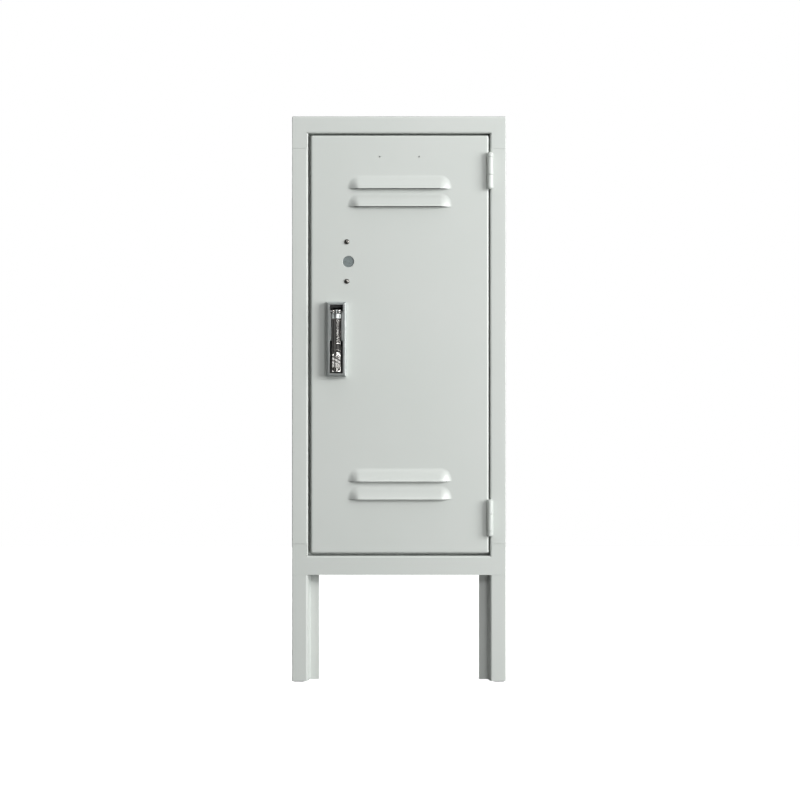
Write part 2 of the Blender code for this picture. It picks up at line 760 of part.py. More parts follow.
def hinge_leaf(name, x_a, x_b, low, high, knuckles, axis_bottom):
    """A leaf in the door gap, with webs forward to its knuckles on the hinge axis."""
    plate_front = HINGE_Y + HINGE_RADIUS + 4 * GAP
    rear = FRONT + HINGE_LEAF_DEPTH
    made = box(name, (x_a, plate_front, low), (x_b, rear, high), PAINT)
    web_front = HINGE_Y + (HINGE_RADIUS + HINGE_BORE_RADIUS) / 2
    for i, (start, end) in enumerate(knuckles):
        web = box(f"{name}_web_{i}", (x_a, web_front, start), (x_b, plate_front + 2 * HINGE_LEAF, end))
        weld_on(made, web, knuckle(f"{name}_knuckle_{i}", start, end))
    start = (HINGE_X, HINGE_Y, axis_bottom - HINGE_RADIUS)
    length = HINGE_LENGTH + 2 * HINGE_RADIUS
    cut(made, cylinder(name + "_bore", HINGE_BORE_RADIUS, start, length, "Z", segments=16))
    return smooth(made)


def hinge(name, bottom, flip):
    """Three knuckles: short frame, long door, frame. A flipped hinge has the short one at the bottom."""
    top = bottom + HINGE_LENGTH
    if flip:
        split_a = bottom + HINGE_LENGTH - HINGE_END_KNUCKLE - HINGE_DOOR_KNUCKLE
        split_b = top - HINGE_END_KNUCKLE
    else:
        split_a = bottom + HINGE_END_KNUCKLE
        split_b = split_a + HINGE_DOOR_KNUCKLE
    head = HINGE_PIN_RADIUS
    half_gap = KNUCKLE_GAP / 2
    frame_x = (OPEN_HALF - GAP - HINGE_LEAF, OPEN_HALF - GAP)
    door_x = (DOOR_RIGHT + GAP, DOOR_RIGHT + GAP + HINGE_LEAF)
    low = bottom + head
    high = top - head
    frame_knuckles = [(low, split_a - half_gap), (split_b + half_gap, high)]
    door_knuckles = [(split_a + half_gap, split_b - half_gap)]
    frame = hinge_leaf(name + "_frame_leaf", *frame_x, low, high, frame_knuckles, bottom)
    door = hinge_leaf(name + "_door_leaf", *door_x, low, high, door_knuckles, bottom)
    return frame, door, hinge_pin(name + "_pin", bottom, top)


def hinge_pin(name, bottom, top):
    """Pin with a low dome at each end."""
    low_head = bottom + HINGE_PIN_RADIUS - GAP
    high_head = top - HINGE_PIN_RADIUS + GAP
    radius = HINGE_RADIUS - 2 * GAP
    dome = arc((0.0, 0.0), 1.0, 90, 0, 4)
    profile = [(radius * r, high_head + (top - high_head) * h) for r, h in dome]
    profile += [(HINGE_PIN_RADIUS, high_head), (HINGE_PIN_RADIUS, low_head)]
    profile += [(radius * r, low_head + (bottom - low_head) * h) for r, h in reversed(dome)]
    return turned(name, profile, (HINGE_X, HINGE_Y, 0.0), "Z", PAINT, 16)


# ---------------------------------------------------------------- door
def hood(bm, foot_z, end, proud, height, rear, below):
    """Part of a long round-ended dome: above its foot, and in front of the rear plane."""
    dome = bmesh.new()
    bmesh.ops.create_uvsphere(dome, u_segments=16, v_segments=7, radius=1.0)
    bmesh.ops.rotate(dome, matrix=Matrix.Rotation(math.radians(90.0), 3, "Y"), verts=dome.verts)
    widest = max(vert.co.z for vert in dome.verts)
    spread = LOUVRE_LENGTH / 2 - LOUVRE_END
    for vert in dome.verts:
        x, y, z = vert.co
        vert.co.x = LOUVRE_OFFSET + x * end + math.copysign(spread, x)
        vert.co.y = FRONT + y * proud / widest
        vert.co.z = foot_z + z * height / widest
    for point, normal in (((0, 0, foot_z - below), (0, 0, -1)), ((0, rear, 0), (0, 1, 0))):
        parts = dome.verts[:] + dome.edges[:] + dome.faces[:]
        bmesh.ops.bisect_plane(
            dome, geom=parts, dist=MERGE, plane_co=point, plane_no=normal, clear_outer=True
        )
        rim = [edge for edge in dome.edges if edge.is_boundary]
        bmesh.ops.holes_fill(dome, edges=rim)
    bmesh.ops.recalc_face_normals(dome, faces=dome.faces)
    mesh = bpy.data.meshes.new("hood")
    dome.to_mesh(mesh)
    dome.free()
    bm.from_mesh(mesh)
    bpy.data.meshes.remove(mesh)


def louvres(name, wall, rear, below):
    bm = bmesh.new()
    for foot_z in LOUVRE_FEET:
        hood(bm, foot_z, LOUVRE_END - wall, LOUVRE_PROUD - wall, LOUVRE_HEIGHT - wall, rear, below)
    return from_bmesh(name, bm)


def round_cutter(name, radius, x, z, segments=20):
    return cylinder(name, radius, (x, FRONT - DOOR_DEPTH, z), 2 * DOOR_DEPTH, "Y", segments=segments)


def door_skin():
    """Pan with folded edges and rear lips, pressed louvres, and its holes."""
    bm = cube_bmesh((DOOR_LEFT, FRONT, DOOR_BOTTOM), (DOOR_RIGHT, DOOR_REAR, DOOR_TOP))
    bm.normal_update()
    rear = faces_towards(bm, (0, 1, 0))
    bmesh.ops.inset_region(bm, faces=rear, thickness=DOOR_LIP)
    bmesh.ops.delete(bm, geom=rear, context="FACES")
    made = from_bmesh("door_skin", bm, PAINT)
    bevel(made, BEND)
    solidify(made, DOOR_SHEET)
    weld_on(made, louvres("louvre_hoods", 0.0, FRONT + DOOR_SHEET / 2, 0.0))
    cut(made, louvres("louvre_hollows", DOOR_SHEET, SKIN_BACK + DOOR_SHEET, DOOR_SHEET / 2))
    for side in (-1, 1):
        x = LOUVRE_OFFSET / 2 + side * LABEL_HOLE_SPACING / 2
        cut(made, round_cutter(f"label_hole_{side}", LABEL_HOLE_RADIUS, x, DOOR_TOP - LABEL_HOLE_DROP, 10))
    cut(made, round_cutter("lock_hole", LOCK_HOLE_RADIUS, LOCK_X, LOCK_Z, 28))
    for i, (x, z) in enumerate(LOCK_FASTENERS):
        cut(made, round_cutter(f"rivet_hole_{i}", RIVET_RADIUS + GAP, x, z, 12))
    half = HANDLE_TUB_WIDTH / 2 + HANDLE_CLEAR
    tall = HANDLE_TUB_HEIGHT / 2 + HANDLE_CLEAR
    low = (HANDLE_X - half, FRONT - DOOR_SHEET, HANDLE_Z - tall)
    high = (HANDLE_X + half, SKIN_BACK + DOOR_SHEET, HANDLE_Z + tall)
    cut(made, box("handle_cutout", low, high))
    for i, z in enumerate(HANDLE_SCREWS):
        cut(made, round_cutter(f"handle_screw_hole_{i}", HANDLE_SCREW_RADIUS + GAP, HANDLE_X, z, 12))
    return smooth(made)


def door_stiffener():
    """Hat channel behind the skin, between the louvre pairs."""
    near = SKIN_BACK + GAP
    far = near + STIFFENER_DEPTH
    half = STIFFENER_WIDTH / 2
    crown = STIFFENER_CROWN / 2
    path = [
        (-half, near),
        (-crown, near, STOP_BEND),
        (-crown, far, STOP_BEND * 2),
        (crown, far, STOP_BEND * 2),
        (crown, near, STOP_BEND),
        (half, near),
    ]
    path = [(u + LOUVRE_OFFSET, *rest) for u, *rest in path]
    low = LOUVRE_FEET[2] + LOUVRE_HEIGHT + STIFFENER_CLEAR
    high = LOUVRE_FEET[1] - STIFFENER_CLEAR
    return folded("door_stiffener", path, "Z", low, high, DOOR_SHEET, PAINT)


def lock_blank_plate():
    near = SKIN_BACK + GAP
    x = LOCK_X + LOCK_FASTENER_SHIFT
    low = (x - LOCK_PLATE_WIDTH / 2, near, LOCK_Z - LOCK_PLATE_HEIGHT / 2)
    high = (x + LOCK_PLATE_WIDTH / 2, near + LOCK_PLATE_SHEET, LOCK_Z + LOCK_PLATE_HEIGHT / 2)
    made = box("lock_blank_plate", low, high, GREY_STEEL)
    for i, (hole_x, hole_z) in enumerate(LOCK_FASTENERS):
        cut(made, round_cutter(f"blank_hole_{i}", RIVET_RADIUS + GAP, hole_x, hole_z, 12))
    return made


def dome_fastener(name, x, z):
    """Dome-headed bolt through the skin and the blanking plate, head in front."""
    dome = arc((0.0, 0.0), 1.0, 90, 0, 4)
    foot = -(DOOR_SHEET + LOCK_PLATE_SHEET + GAP + RIVET_TAIL)
    profile = [(DOME_RADIUS * r, GAP + DOME_HEIGHT * h) for r, h in dome]
    profile += [(RIVET_RADIUS, GAP), (RIVET_RADIUS, foot), (0.0, foot)]
    return turned(name, profile, (x, FRONT, z), "-Y", DARK_STEEL, 16)


# ---------------------------------------------------------------- handle and latch
def handle_housing():
    """Chamfered bezel in front of the door, tub behind it, stepped pocket and tail opening."""
    half = HANDLE_WIDTH / 2
    bezel_front = FRONT - HANDLE_BEZEL
    bm = cube_bmesh(
        (HANDLE_X - half, bezel_front, HANDLE_FOOT), (HANDLE_X + half, FRONT - GAP, HANDLE_TOP)
    )
    rim = [edge for edge in bm.edges if all(vert.co.y < bezel_front + GAP for vert in edge.verts)]
    bmesh.ops.bevel(bm, geom=rim, offset=HANDLE_CHAMFER, segments=1, affect="EDGES", profile=0.5)
    made = from_bmesh("handle_housing", bm, CHROME)
    tub_half = HANDLE_TUB_WIDTH / 2
    tub_tall = HANDLE_TUB_HEIGHT / 2
    tub_back = FRONT + HANDLE_TUB_DEPTH
    weld_on(made, box(
        "handle_tub",
        (HANDLE_X - tub_half, FRONT - 2 * GAP - SHEET, HANDLE_Z - tub_tall),
        (HANDLE_X + tub_half, tub_back, HANDLE_Z + tub_tall),
    ))
    pocket_back = tub_back - HANDLE_FLOOR
    low_z = HANDLE_FOOT + POCKET_FOOT
    high_z = HANDLE_TOP - POCKET_TOP
    # the tub is shorter than the bezel, so the pocket is longer in the bezel than in the tub
    tub_low = HANDLE_Z - tub_tall + HANDLE_FLOOR
    tub_high = HANDLE_Z + tub_tall - HANDLE_FLOOR
    for label, width, back, low, high in (
        ("main", POCKET_WIDTH, pocket_back, tub_low, tub_high),
        ("mouth", POCKET_WIDTH, FRONT - 2 * SHEET, low_z, high_z),
        ("head", POCKET_WIDE, pocket_back, high_z - POCKET_HEAD, tub_high),
        ("head_mouth", POCKET_WIDE, FRONT - 2 * SHEET, high_z - POCKET_HEAD, high_z),
        ("well", POCKET_WIDE, pocket_back, tub_low, low_z + POCKET_WELL),
        ("well_mouth", POCKET_WIDE, FRONT - 2 * SHEET, low_z, low_z + POCKET_WELL),
    ):
        start = bezel_front - HANDLE_BEZEL
        cut(made, box(
            f"pocket_{label}", (HANDLE_X - width / 2, start, low), (HANDLE_X + width / 2, back, high)
        ))
    tail_half = LEVER_TAIL / 2 + 4 * GAP
    cut(made, box(
        "tail_opening",
        (HANDLE_X - tail_half, FRONT, PIVOT_Z - TAIL_DROP),
        (HANDLE_X + tail_half, tub_back + HANDLE_FLOOR, PIVOT_Z + LEVER_HUB),
    ))
    for i, z in enumerate(HANDLE_SCREWS):
        start = (HANDLE_X, FRONT - HANDLE_SCREW_LENGTH - GAP, z)
        radius = HANDLE_SCREW_RADIUS + GAP
        cut(made, cylinder(f"bezel_screw_hole_{i}", radius, start, 2 * HANDLE_SCREW_LENGTH, "Y", segments=12))
    start = (HANDLE_X - HANDLE_WIDTH, PIVOT_Y, PIVOT_Z)
    return cut(made, cylinder("pin_bore", PIN_BORE_RADIUS, start, 2 * HANDLE_WIDTH, "X", segments=14))


def lever_outline():
    """Side view (y, z), from the top of the finger plate round the lip, up the back and round the hub."""
    fine, small, medium, large = LEVER_CORNERS
    upper_sweep, lower_sweep = LEVER_SWEEPS
    lip = FRONT - HANDLE_PROUD
    face = FRONT - HANDLE_BEZEL
    head_front = face - LEVER_HEAD_PROUD
    plate_front = face + LEVER_SETBACK
    plate_back = plate_front + LEVER_PLATE
    curve_front = face + LEVER_CURVE
    top = HANDLE_TOP - POCKET_TOP - POCKET_HEAD
    neck = top - LEVER_HEAD
    foot = HANDLE_FOOT + POCKET_FOOT + LEVER_FOOT_GAP
    hub_back = PIVOT_Y + LEVER_HUB
    hub_front = PIVOT_Y - LEVER_HUB
    hub_round = LEVER_HUB * 0.9
    return rounded([
        (head_front, top, small),
        (head_front, neck, fine),
        (plate_front, neck - medium, fine),
        (plate_front, foot + LEVER_BEND_HIGH, upper_sweep),
        (curve_front, foot + LEVER_BEND_LOW, lower_sweep),
        (lip, foot + LEVER_LIP, medium),
        (lip, foot, small),
        (lip + LEVER_LIP_DEPTH, foot, medium),
        (curve_front + LEVER_PLATE, foot + LEVER_BEND_LOW, lower_sweep),
        (plate_back, foot + LEVER_BEND_HIGH + medium, upper_sweep),
        (plate_back, neck, medium),
        (PIVOT_Y, PIVOT_Z - LEVER_HUB, large),
        (hub_back, PIVOT_Z - LEVER_HUB, hub_round),
        (hub_back, PIVOT_Z + LEVER_HUB, hub_round),
        (hub_front, PIVOT_Z + LEVER_HUB, hub_round),
        (hub_front, top, fine),
    ], closed=True)


def handle_lever():
    """Finger plate and hub from one outline, with a square tail to the latch bolt."""
    made = plate("handle_lever", [lever_outline()], "X", HANDLE_X, LEVER_WIDTH, CHROME)
    tail = LEVER_TAIL / 2
    weld_on(made, box(
        "lever_tail",
        (HANDLE_X - tail, PIVOT_Y + LEVER_HUB * 0.6, PIVOT_Z - tail),
        (HANDLE_X + tail, PIVOT_Y + TAIL_LENGTH, PIVOT_Z + tail),
    ))
    start = (HANDLE_X - LEVER_WIDTH, PIVOT_Y, PIVOT_Z)
    return cut(made, cylinder("lever_bore", PIN_BORE_RADIUS, start, 2 * LEVER_WIDTH, "X", segments=14))


def lever_pin():
    length = HANDLE_TUB_WIDTH - 2 * GAP
    start = (HANDLE_X - length / 2, PIVOT_Y, PIVOT_Z)
    return cylinder("lever_pin", PIN_RADIUS, start, length, "X", STEEL, 14)


def lever_spring():
    """Torsion spring round the pin, between the lever and the pocket's wall."""
    coil_radius = PIN_BORE_RADIUS + SPRING_WIRE
    start_x = HANDLE_X + LEVER_WIDTH / 2 + SPRING_WIRE / 2 + GAP
    room = POCKET_WIDE / 2 - LEVER_WIDTH / 2 - SPRING_WIRE - 2 * GAP
    per_turn = 10
    count = SPRING_TURNS * per_turn
    points = []
    for i in range(count + 1):
        angle = 2 * math.pi * i / per_turn
        y = PIVOT_Y + coil_radius * math.cos(angle)
        z = PIVOT_Z + coil_radius * math.sin(angle)
        points.append((start_x + room * i / count, y, z))
    curve = bpy.data.curves.new("lever_spring", "CURVE")
    curve.dimensions = "3D"
    curve.bevel_depth = SPRING_WIRE / 2
    curve.bevel_resolution = 2
    curve.use_fill_caps = True
    spline = curve.splines.new("POLY")
    spline.points.add(len(points) - 1)
    for point, place_at in zip(spline.points, points):
        point.co = (*place_at, 1.0)
    made = bpy.data.objects.new("lever_spring", curve)
    collection(PARTS).objects.link(made)
    curve.materials.append(principled("lever_spring", *STEEL))
    return made


def latch_bolt():
    """Flat bolt: a nose towards the door stop and a tall part with the slanted slot for the tail."""
    tip = -STOP_EDGE + BOLT_SHORT
    tall_left = HANDLE_X - BOLT_TRAVEL - LEVER_TAIL / 2 - BOLT_MARGIN
    right = HANDLE_X + LEVER_TAIL / 2 + BOLT_MARGIN
    top = PIVOT_Z + LEVER_TAIL / 2 + BOLT_HEADROOM
    foot = PIVOT_Z - TAIL_DROP - LEVER_TAIL / 2 - BOLT_MARGIN
    nose_high = PIVOT_Z - CASE_DROP + BOLT_NOSE / 2
    nose_low = PIVOT_Z - CASE_DROP - BOLT_NOSE / 2
    outline = rounded([
        (tip, nose_high, BOLT_CORNER),
        (tip, nose_low, BOLT_RAMP),
        (tall_left, nose_low),
        (tall_left, foot, BOLT_CORNER),
        (right, foot, BOLT_CORNER),
        (right, top, BOLT_CORNER),
        (tall_left, top, BOLT_CORNER),
        (tall_left, nose_high),
    ], closed=True)
    half_x = LEVER_TAIL / 2 + SLOT_CLEAR
    half_z = LEVER_TAIL / 2 / math.cos(LEVER_LIFT) + SLOT_CLEAR
    drop_x = BOLT_TRAVEL
    slot = [
        (HANDLE_X - half_x, PIVOT_Z + half_z),
        (HANDLE_X + half_x, PIVOT_Z + half_z),
        (HANDLE_X + half_x, PIVOT_Z - half_z),
        (HANDLE_X + half_x - drop_x, PIVOT_Z - half_z - TAIL_DROP),
        (HANDLE_X - half_x - drop_x, PIVOT_Z - half_z - TAIL_DROP),
        (HANDLE_X - half_x - drop_x, PIVOT_Z + half_z - TAIL_DROP),
    ]
    middle = (BOLT_FRONT + BOLT_BACK) / 2
    return plate("latch_bolt", [outline, slot], "Y", middle, BOLT_SHEET, STEEL)


def latch_case():
    """Cover behind the handle, open towards the door, with a slot for the bolt's nose."""
    x = HANDLE_X + CASE_SHIFT
    z = PIVOT_Z - CASE_DROP
    near = SKIN_BACK + GAP
    made = open_box(
        "latch_case",
        (x - CASE_SIDE / 2, near, z - CASE_TALL / 2),
        (x + CASE_SIDE / 2, CASE_BACK, z + CASE_TALL / 2),
        [(0, -1, 0)],
        CASE_WALL,
        2 * CASE_WALL,
        STEEL,
    )
    reach = BOLT_NOSE / 2 + 4 * GAP
    low = (x - CASE_SIDE, BOLT_FRONT - GAP, z - reach)
    high = (x - CASE_SIDE / 4, BOLT_BACK + GAP, z + reach)
    cut(made, box("bolt_slot", low, high))
    tub_half = HANDLE_TUB_WIDTH / 2 + HANDLE_CLEAR
    low = (HANDLE_X - tub_half, FRONT, z - CASE_TALL)
    high = (HANDLE_X + tub_half, FRONT + HANDLE_TUB_DEPTH + HANDLE_CLEAR, z)
    return cut(made, box("tub_notch", low, high))


def latch_guide():
    """Plate in the case, just in front of the bolt, with an upright slot for the tail."""
    x = HANDLE_X + CASE_SHIFT
    z = PIVOT_Z - CASE_DROP
    half = CASE_SIDE / 2 - CASE_WALL - GAP
    tall = CASE_TALL / 2 - 3 * CASE_WALL
    back = BOLT_FRONT - GAP
    made = box("latch_guide", (x - half, back - GUIDE_SHEET, z - tall), (x + half, back, z + tall), STEEL)
    tail = LEVER_TAIL / 2 + 3 * GAP
    low = (HANDLE_X - tail, back - 2 * GUIDE_SHEET, PIVOT_Z - TAIL_DROP - 2 * tail)
    high = (HANDLE_X + tail, back + GUIDE_SHEET, PIVOT_Z + 2 * tail)
    return cut(made, box("guide_slot", low, high))


def handle_screw(name, z):
    """Screw through the skin from behind, into the end of the bezel."""
    radius = HANDLE_SCREW_RADIUS
    head_top = GAP + radius
    foot = -(DOOR_SHEET + HANDLE_SCREW_LENGTH)
    profile = [(0.0, head_top), (HANDLE_SCREW_HEAD, head_top), (HANDLE_SCREW_HEAD, GAP)]
    profile += [(radius, GAP), (radius, foot), (0.0, foot)]
    return turned(name, profile, (HANDLE_X, SKIN_BACK, z), "Y", STEEL, 12)


# ---------------------------------------------------------------- assembly
def axis_empty(name, location):
    made = bpy.data.objects.new(name, None)
    made.location = location
    collection(PARTS).objects.link(made)
    return made


def hang_on(parent, *things):
    """Parents pieces to an empty on a joint's axis, and leaves them where they are."""
    for thing in things:
        thing.parent = parent
        thing.matrix_parent_inverse = Matrix.Translation(-parent.location)


def build_case():
    for label, side in (("left", -1), ("right", 1)):
        side_panel(f"{label}_side_panel", side)
        for row, end in (("front", -1), ("rear", 1)):
            leg(f"{row}_{label}_leg", side, end)
            glide(f"{row}_{label}_glide", side, end)
            leg_bolt(f"{row}_{label}_leg_bolt", side, end)
        shelf_clip(f"front_{label}_shelf_clip", side, FRONT + SHELF_SETBACK + CLIP_FROM_EDGE + CLIP_WIDTH / 2)
        shelf_clip(f"rear_{label}_shelf_clip", side, BACK_FACE - CLIP_FROM_EDGE - CLIP_WIDTH / 2)
    top_cap()
    bottom_base()
    floor_panel()
    back_panel()
    shelf()
    strike_plate()
    door_bumper("upper_door_bumper", DOOR_TOP - BUMPER_FROM_END)
    door_bumper("lower_door_bumper", DOOR_BOTTOM + BUMPER_FROM_END)


def build_door():
    hung = [door_skin(), door_stiffener(), lock_blank_plate()]
    for label, (x, z) in zip(("upper", "lower"), LOCK_FASTENERS):
        hung.append(dome_fastener(f"{label}_lock_fastener", x, z))
    hung += [handle_housing(), lever_pin(), lever_spring(), latch_case(), latch_guide()]
    for label, z in zip(("upper", "lower"), HANDLE_SCREWS):
        hung.append(handle_screw(f"{label}_handle_screw", z))
    upper = hinge("upper_hinge", OPEN_TOP - HINGE_INSET_TOP - HINGE_LENGTH, True)
    lower = hinge("lower_hinge", OPEN_BOTTOM + HINGE_INSET_BOTTOM, False)
    hung += [upper[1], lower[1]]
    hang_on(axis_empty("door_axis", (HINGE_X, HINGE_Y, OPEN_BOTTOM)), *hung)


def build_moving_latch():
    hang_on(axis_empty("lever_axis", (HANDLE_X, PIVOT_Y, PIVOT_Z)), handle_lever())
    hang_on(axis_empty("bolt_axis", (HANDLE_X, (BOLT_FRONT + BOLT_BACK) / 2, PIVOT_Z)), latch_bolt())


def main():
    clear_scene()
    build_case()
    build_door()
    build_moving_latch()


main()
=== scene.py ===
"""Looks of the locker cabinet: fine meshes, materials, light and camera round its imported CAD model."""
import json
import math

import bmesh
import bpy
from mathutils import Matrix, Vector

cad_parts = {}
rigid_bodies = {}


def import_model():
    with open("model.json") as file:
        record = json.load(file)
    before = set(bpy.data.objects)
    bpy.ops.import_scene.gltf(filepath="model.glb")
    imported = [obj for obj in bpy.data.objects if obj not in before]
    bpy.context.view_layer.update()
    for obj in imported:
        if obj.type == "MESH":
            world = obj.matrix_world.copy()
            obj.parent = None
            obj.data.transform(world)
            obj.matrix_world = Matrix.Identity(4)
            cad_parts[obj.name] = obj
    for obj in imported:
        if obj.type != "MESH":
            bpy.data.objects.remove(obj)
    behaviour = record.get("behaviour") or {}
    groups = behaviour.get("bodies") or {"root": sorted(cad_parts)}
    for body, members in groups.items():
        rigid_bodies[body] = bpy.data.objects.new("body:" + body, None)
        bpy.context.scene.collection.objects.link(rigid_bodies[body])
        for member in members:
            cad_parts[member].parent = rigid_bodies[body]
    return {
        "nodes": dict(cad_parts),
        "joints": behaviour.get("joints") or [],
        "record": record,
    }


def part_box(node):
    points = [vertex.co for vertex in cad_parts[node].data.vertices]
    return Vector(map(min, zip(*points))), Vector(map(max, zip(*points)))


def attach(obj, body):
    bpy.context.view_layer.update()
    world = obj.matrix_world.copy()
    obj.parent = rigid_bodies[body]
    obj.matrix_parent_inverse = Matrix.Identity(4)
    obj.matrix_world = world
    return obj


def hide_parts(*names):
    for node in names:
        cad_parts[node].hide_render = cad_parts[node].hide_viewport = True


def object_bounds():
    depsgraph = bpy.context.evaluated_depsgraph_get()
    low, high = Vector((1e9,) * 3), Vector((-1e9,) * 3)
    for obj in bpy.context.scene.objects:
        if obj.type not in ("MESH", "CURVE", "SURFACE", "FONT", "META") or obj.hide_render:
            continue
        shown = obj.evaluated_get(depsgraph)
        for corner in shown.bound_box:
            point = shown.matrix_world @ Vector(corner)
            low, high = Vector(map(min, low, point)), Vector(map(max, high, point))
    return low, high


for leftover in list(bpy.data.objects):
    bpy.data.objects.remove(leftover)

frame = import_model()
CAD_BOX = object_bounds()

# ---------------------------------------------------------------- named values, in metres
MERGE = 0.000001             # points closer than this are one point
FLAT_BELOW = math.radians(0.5)     # faces that meet at less than this are one face
SMOOTH_BELOW = math.radians(50.0)
ROUND_ABOVE = math.radians(40.0)
EDGE = (0.0003, 2)           # radius and steps of an ordinary sheet edge
EDGES = {                    # nodes whose edges are softer or sharper than that
    "top_cap": (0.0005, 3),
    "bottom_base": (0.0005, 3),
    "handle_housing": (0.0005, 3),
    "latch_case": (0.0002, 2),
    "latch_guide": (0.0002, 2),
}
AS_PACKED = ("lever_pin", "lever_spring")
OUTER_BEND = (0.0035, 0.0016)      # radius of the case's four upright edges: as packed, and as shown
RECESS_DEPTH = 0.0007        # the handle's pocket counts as a recess from this far behind its face

SHEET = 0.0010               # door sheet
BEND = 0.0035                # outside radius of the door's folded edges
BEND_STEPS = 7
DOOR_LIP = 0.0120
SINK = 0.00005               # a pressed shape starts this far inside the sheet
FIT = 4 * SINK               # gap round a fastener; what stands out less than this is flat

LOUVRE_END = 0.0240          # rounded end, along the louvre
LOUVRE_LEAN = 0.16           # how much of the slope is left at the lower edge
LOUVRE_CURVE = 1.05          # above 1 the slope is steeper near the border
LOUVRE_SQUARE = 2.5          # above 2 the ends are squarer than an ellipse
LOUVRE_SLIT = 0.0006
LOUVRE_ROWS = 26
LOUVRE_END_COLUMNS = 24
LOUVRE_MIDDLE_COLUMNS = 10
LOUVRE_APART = 0.0120        # the feet of two louvres are further apart than this

LABEL_HOLE_RADIUS = 0.0012
LABEL_HOLE_SPACING = 0.0700
LABEL_HOLE_DROP = 0.0380
LOCK_HOLE_RADIUS = 0.0100
LOCK_HOLE_SHIFT = 0.0026     # lock hole, from the line of its fasteners towards the hinges
RIVET_RADIUS = 0.0020
DOME_FLANGE_DEG = 12.0       # where the dome meets its flange
DOME_STEPS = 10
SCREW_HOLE_RADIUS = 0.0015
HOLE_ROLL = 0.0008           # rounding of the edge of the lock hole
LABEL_HOLE_ROLL = HOLE_ROLL / 3
SMALL_HOLE_ROLL = HOLE_ROLL / 4
HOLE_ROLL_STEPS = 5
HANDLE_CLEAR = 0.0004
HANDLE_FLANGE = (0.0040, 0.0070)   # bezel past the sides and the ends of its tub
ROUND_STEPS = 48             # sides of a round piece or hole
BORE_STEPS = 24              # and of a bore that is hidden inside a piece

LEVER_FLAT = 0.0008          # half width of the ridge along the middle of the lever's front
LEVER_FACET = 0.0036         # width of the slope on each side of that ridge
LEVER_CROWN = 0.00137        # how far the front falls back across a slope
HEAD_LEAN = 0.0011           # how far the head's front leans back at its top
HEAD_HEIGHT = 0.0100
HEAD_DROP = 0.0035           # pivot to the top of the head
HEAD_REACH = 1.2             # the lean goes on to this many heights of the head
LEVER_EDGE = 0.0006          # rounding of the lever's side edges
LEVER_STATIONS = 12
LEVER_STEP = 0.0008          # greatest distance between points of the lever's outline
RIPPLE_HEIGHT = 0.00024      # soft waves of the finger grip
RIPPLE_PITCH = 0.0068
RIPPLE_SKEW = 0.55
RIPPLE_RANGE = (0.0120, 0.0450)    # over the lever's foot
TAIL_HALF = 0.0025
BORE_RADIUS = 0.0018

KNUCKLE_EDGE = 0.0004
KNUCKLE_EDGE_STEPS = 3
LEAF_SETBACK = 0.0012        # back of the barrel to the front of the leaf's plate
HINGE_BORE = 0.0026
PIN_CLEAR = 6 * SINK
PIN_HEAD_RADIUS = 0.0049
PIN_HEAD_RISE = 0.0021
PIN_HEAD_STEPS = 8

CAMERA_DISTANCE = 3.5        # from the front of the case
CAMERA_HEIGHT = 0.5008
CAMERA_SIDE = 0.0018
CAMERA_LENS = 88.68
CAMERA_SENSOR = 36.0
FLOOR_HALF = 3.0
FLOOR_CELLS = 8
FLOOR_GLOW = 0.82
ROOM_LIGHT = (0.04, 0.17)    # strength of the dim room: straight in front, and elsewhere
ROOM_EDGE = (-1.0, -0.55)    # direction's Y at which the one starts to change into the other, and ends
MIDDLE_HEIGHT = 0.50         # what the lights face, at the front or the back of the case
LIGHTS = {                   # place, side faced, width and height, watts
    "key": ((3.30, -2.20, 1.30), "front", (2.2, 2.4), 182.0),
    "high_front": ((0.70, -4.50, 2.80), "front", (2.6, 1.2), 52.0),
    "low_front": ((1.10, -3.20, 0.25), "front", (0.8, 0.5), 14.0),
    "top": ((0.0, -0.90, 2.9), "front", (2.2, 1.4), 10.0),
    "rear": ((-1.60, 3.60, 1.90), "back", (2.4, 2.0), 90.0),
}


def hinge_line(joint):
    """A point on the joint's axis, at rest."""
    found = [row for row in frame["joints"] if row["name"] == joint][0]
    return Vector(found["pos_m"])


CASE_LOW, CASE_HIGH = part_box("left_side_panel")
FRONT = CASE_LOW.y
DOOR_LOW, DOOR_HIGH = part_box("door_skin")


def middle_of(node):
    """The middle of the node's box."""
    low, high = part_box(node)
    return (low + high) / 2


# ---------------------------------------------------------------- meshes
def new_object(name, bm):
    """An object in the scene with the bmesh as its mesh; the bmesh is used up."""
    mesh = bpy.data.meshes.new(name)
    bm.to_mesh(mesh)
    bm.free()
    made = bpy.data.objects.new(name, mesh)
    bpy.context.scene.collection.objects.link(made)
    return made


def bake(thing):
    """Puts what the object's modifiers do into its mesh."""
    graph = bpy.context.evaluated_depsgraph_get()
    mesh = bpy.data.meshes.new_from_object(thing.evaluated_get(graph))
    thing.modifiers.clear()
    thing.data = mesh
    return thing


def combine(thing, operation, *others):
    """Joins the other solids to the object, or cuts them out of it, and removes them."""
    for other in others:
        modifier = thing.modifiers.new("combine", "BOOLEAN")
        modifier.operation = operation
        modifier.solver = "EXACT"
        modifier.object = other
        bake(thing)
        bpy.data.objects.remove(other)
    return thing


def joined(name, parts):
    """One object holding several closed shells that don't touch."""
    whole = bmesh.new()
    for part in parts:
        mesh = bpy.data.meshes.new(name)
        part.to_mesh(mesh)
        part.free()
        whole.from_mesh(mesh)
        bpy.data.meshes.remove(mesh)
    return new_object(name, whole)


def block(low, high):
    """A box between two corners, as a bmesh."""
    bm = bmesh.new()
    bmesh.ops.create_cube(bm, size=1.0)
    low = Vector(low)
    size = Vector(high) - low
    for vert in bm.verts:
        vert.co = low + Vector([size[i] * (vert.co[i] + 0.5) for i in range(3)])
    return bm


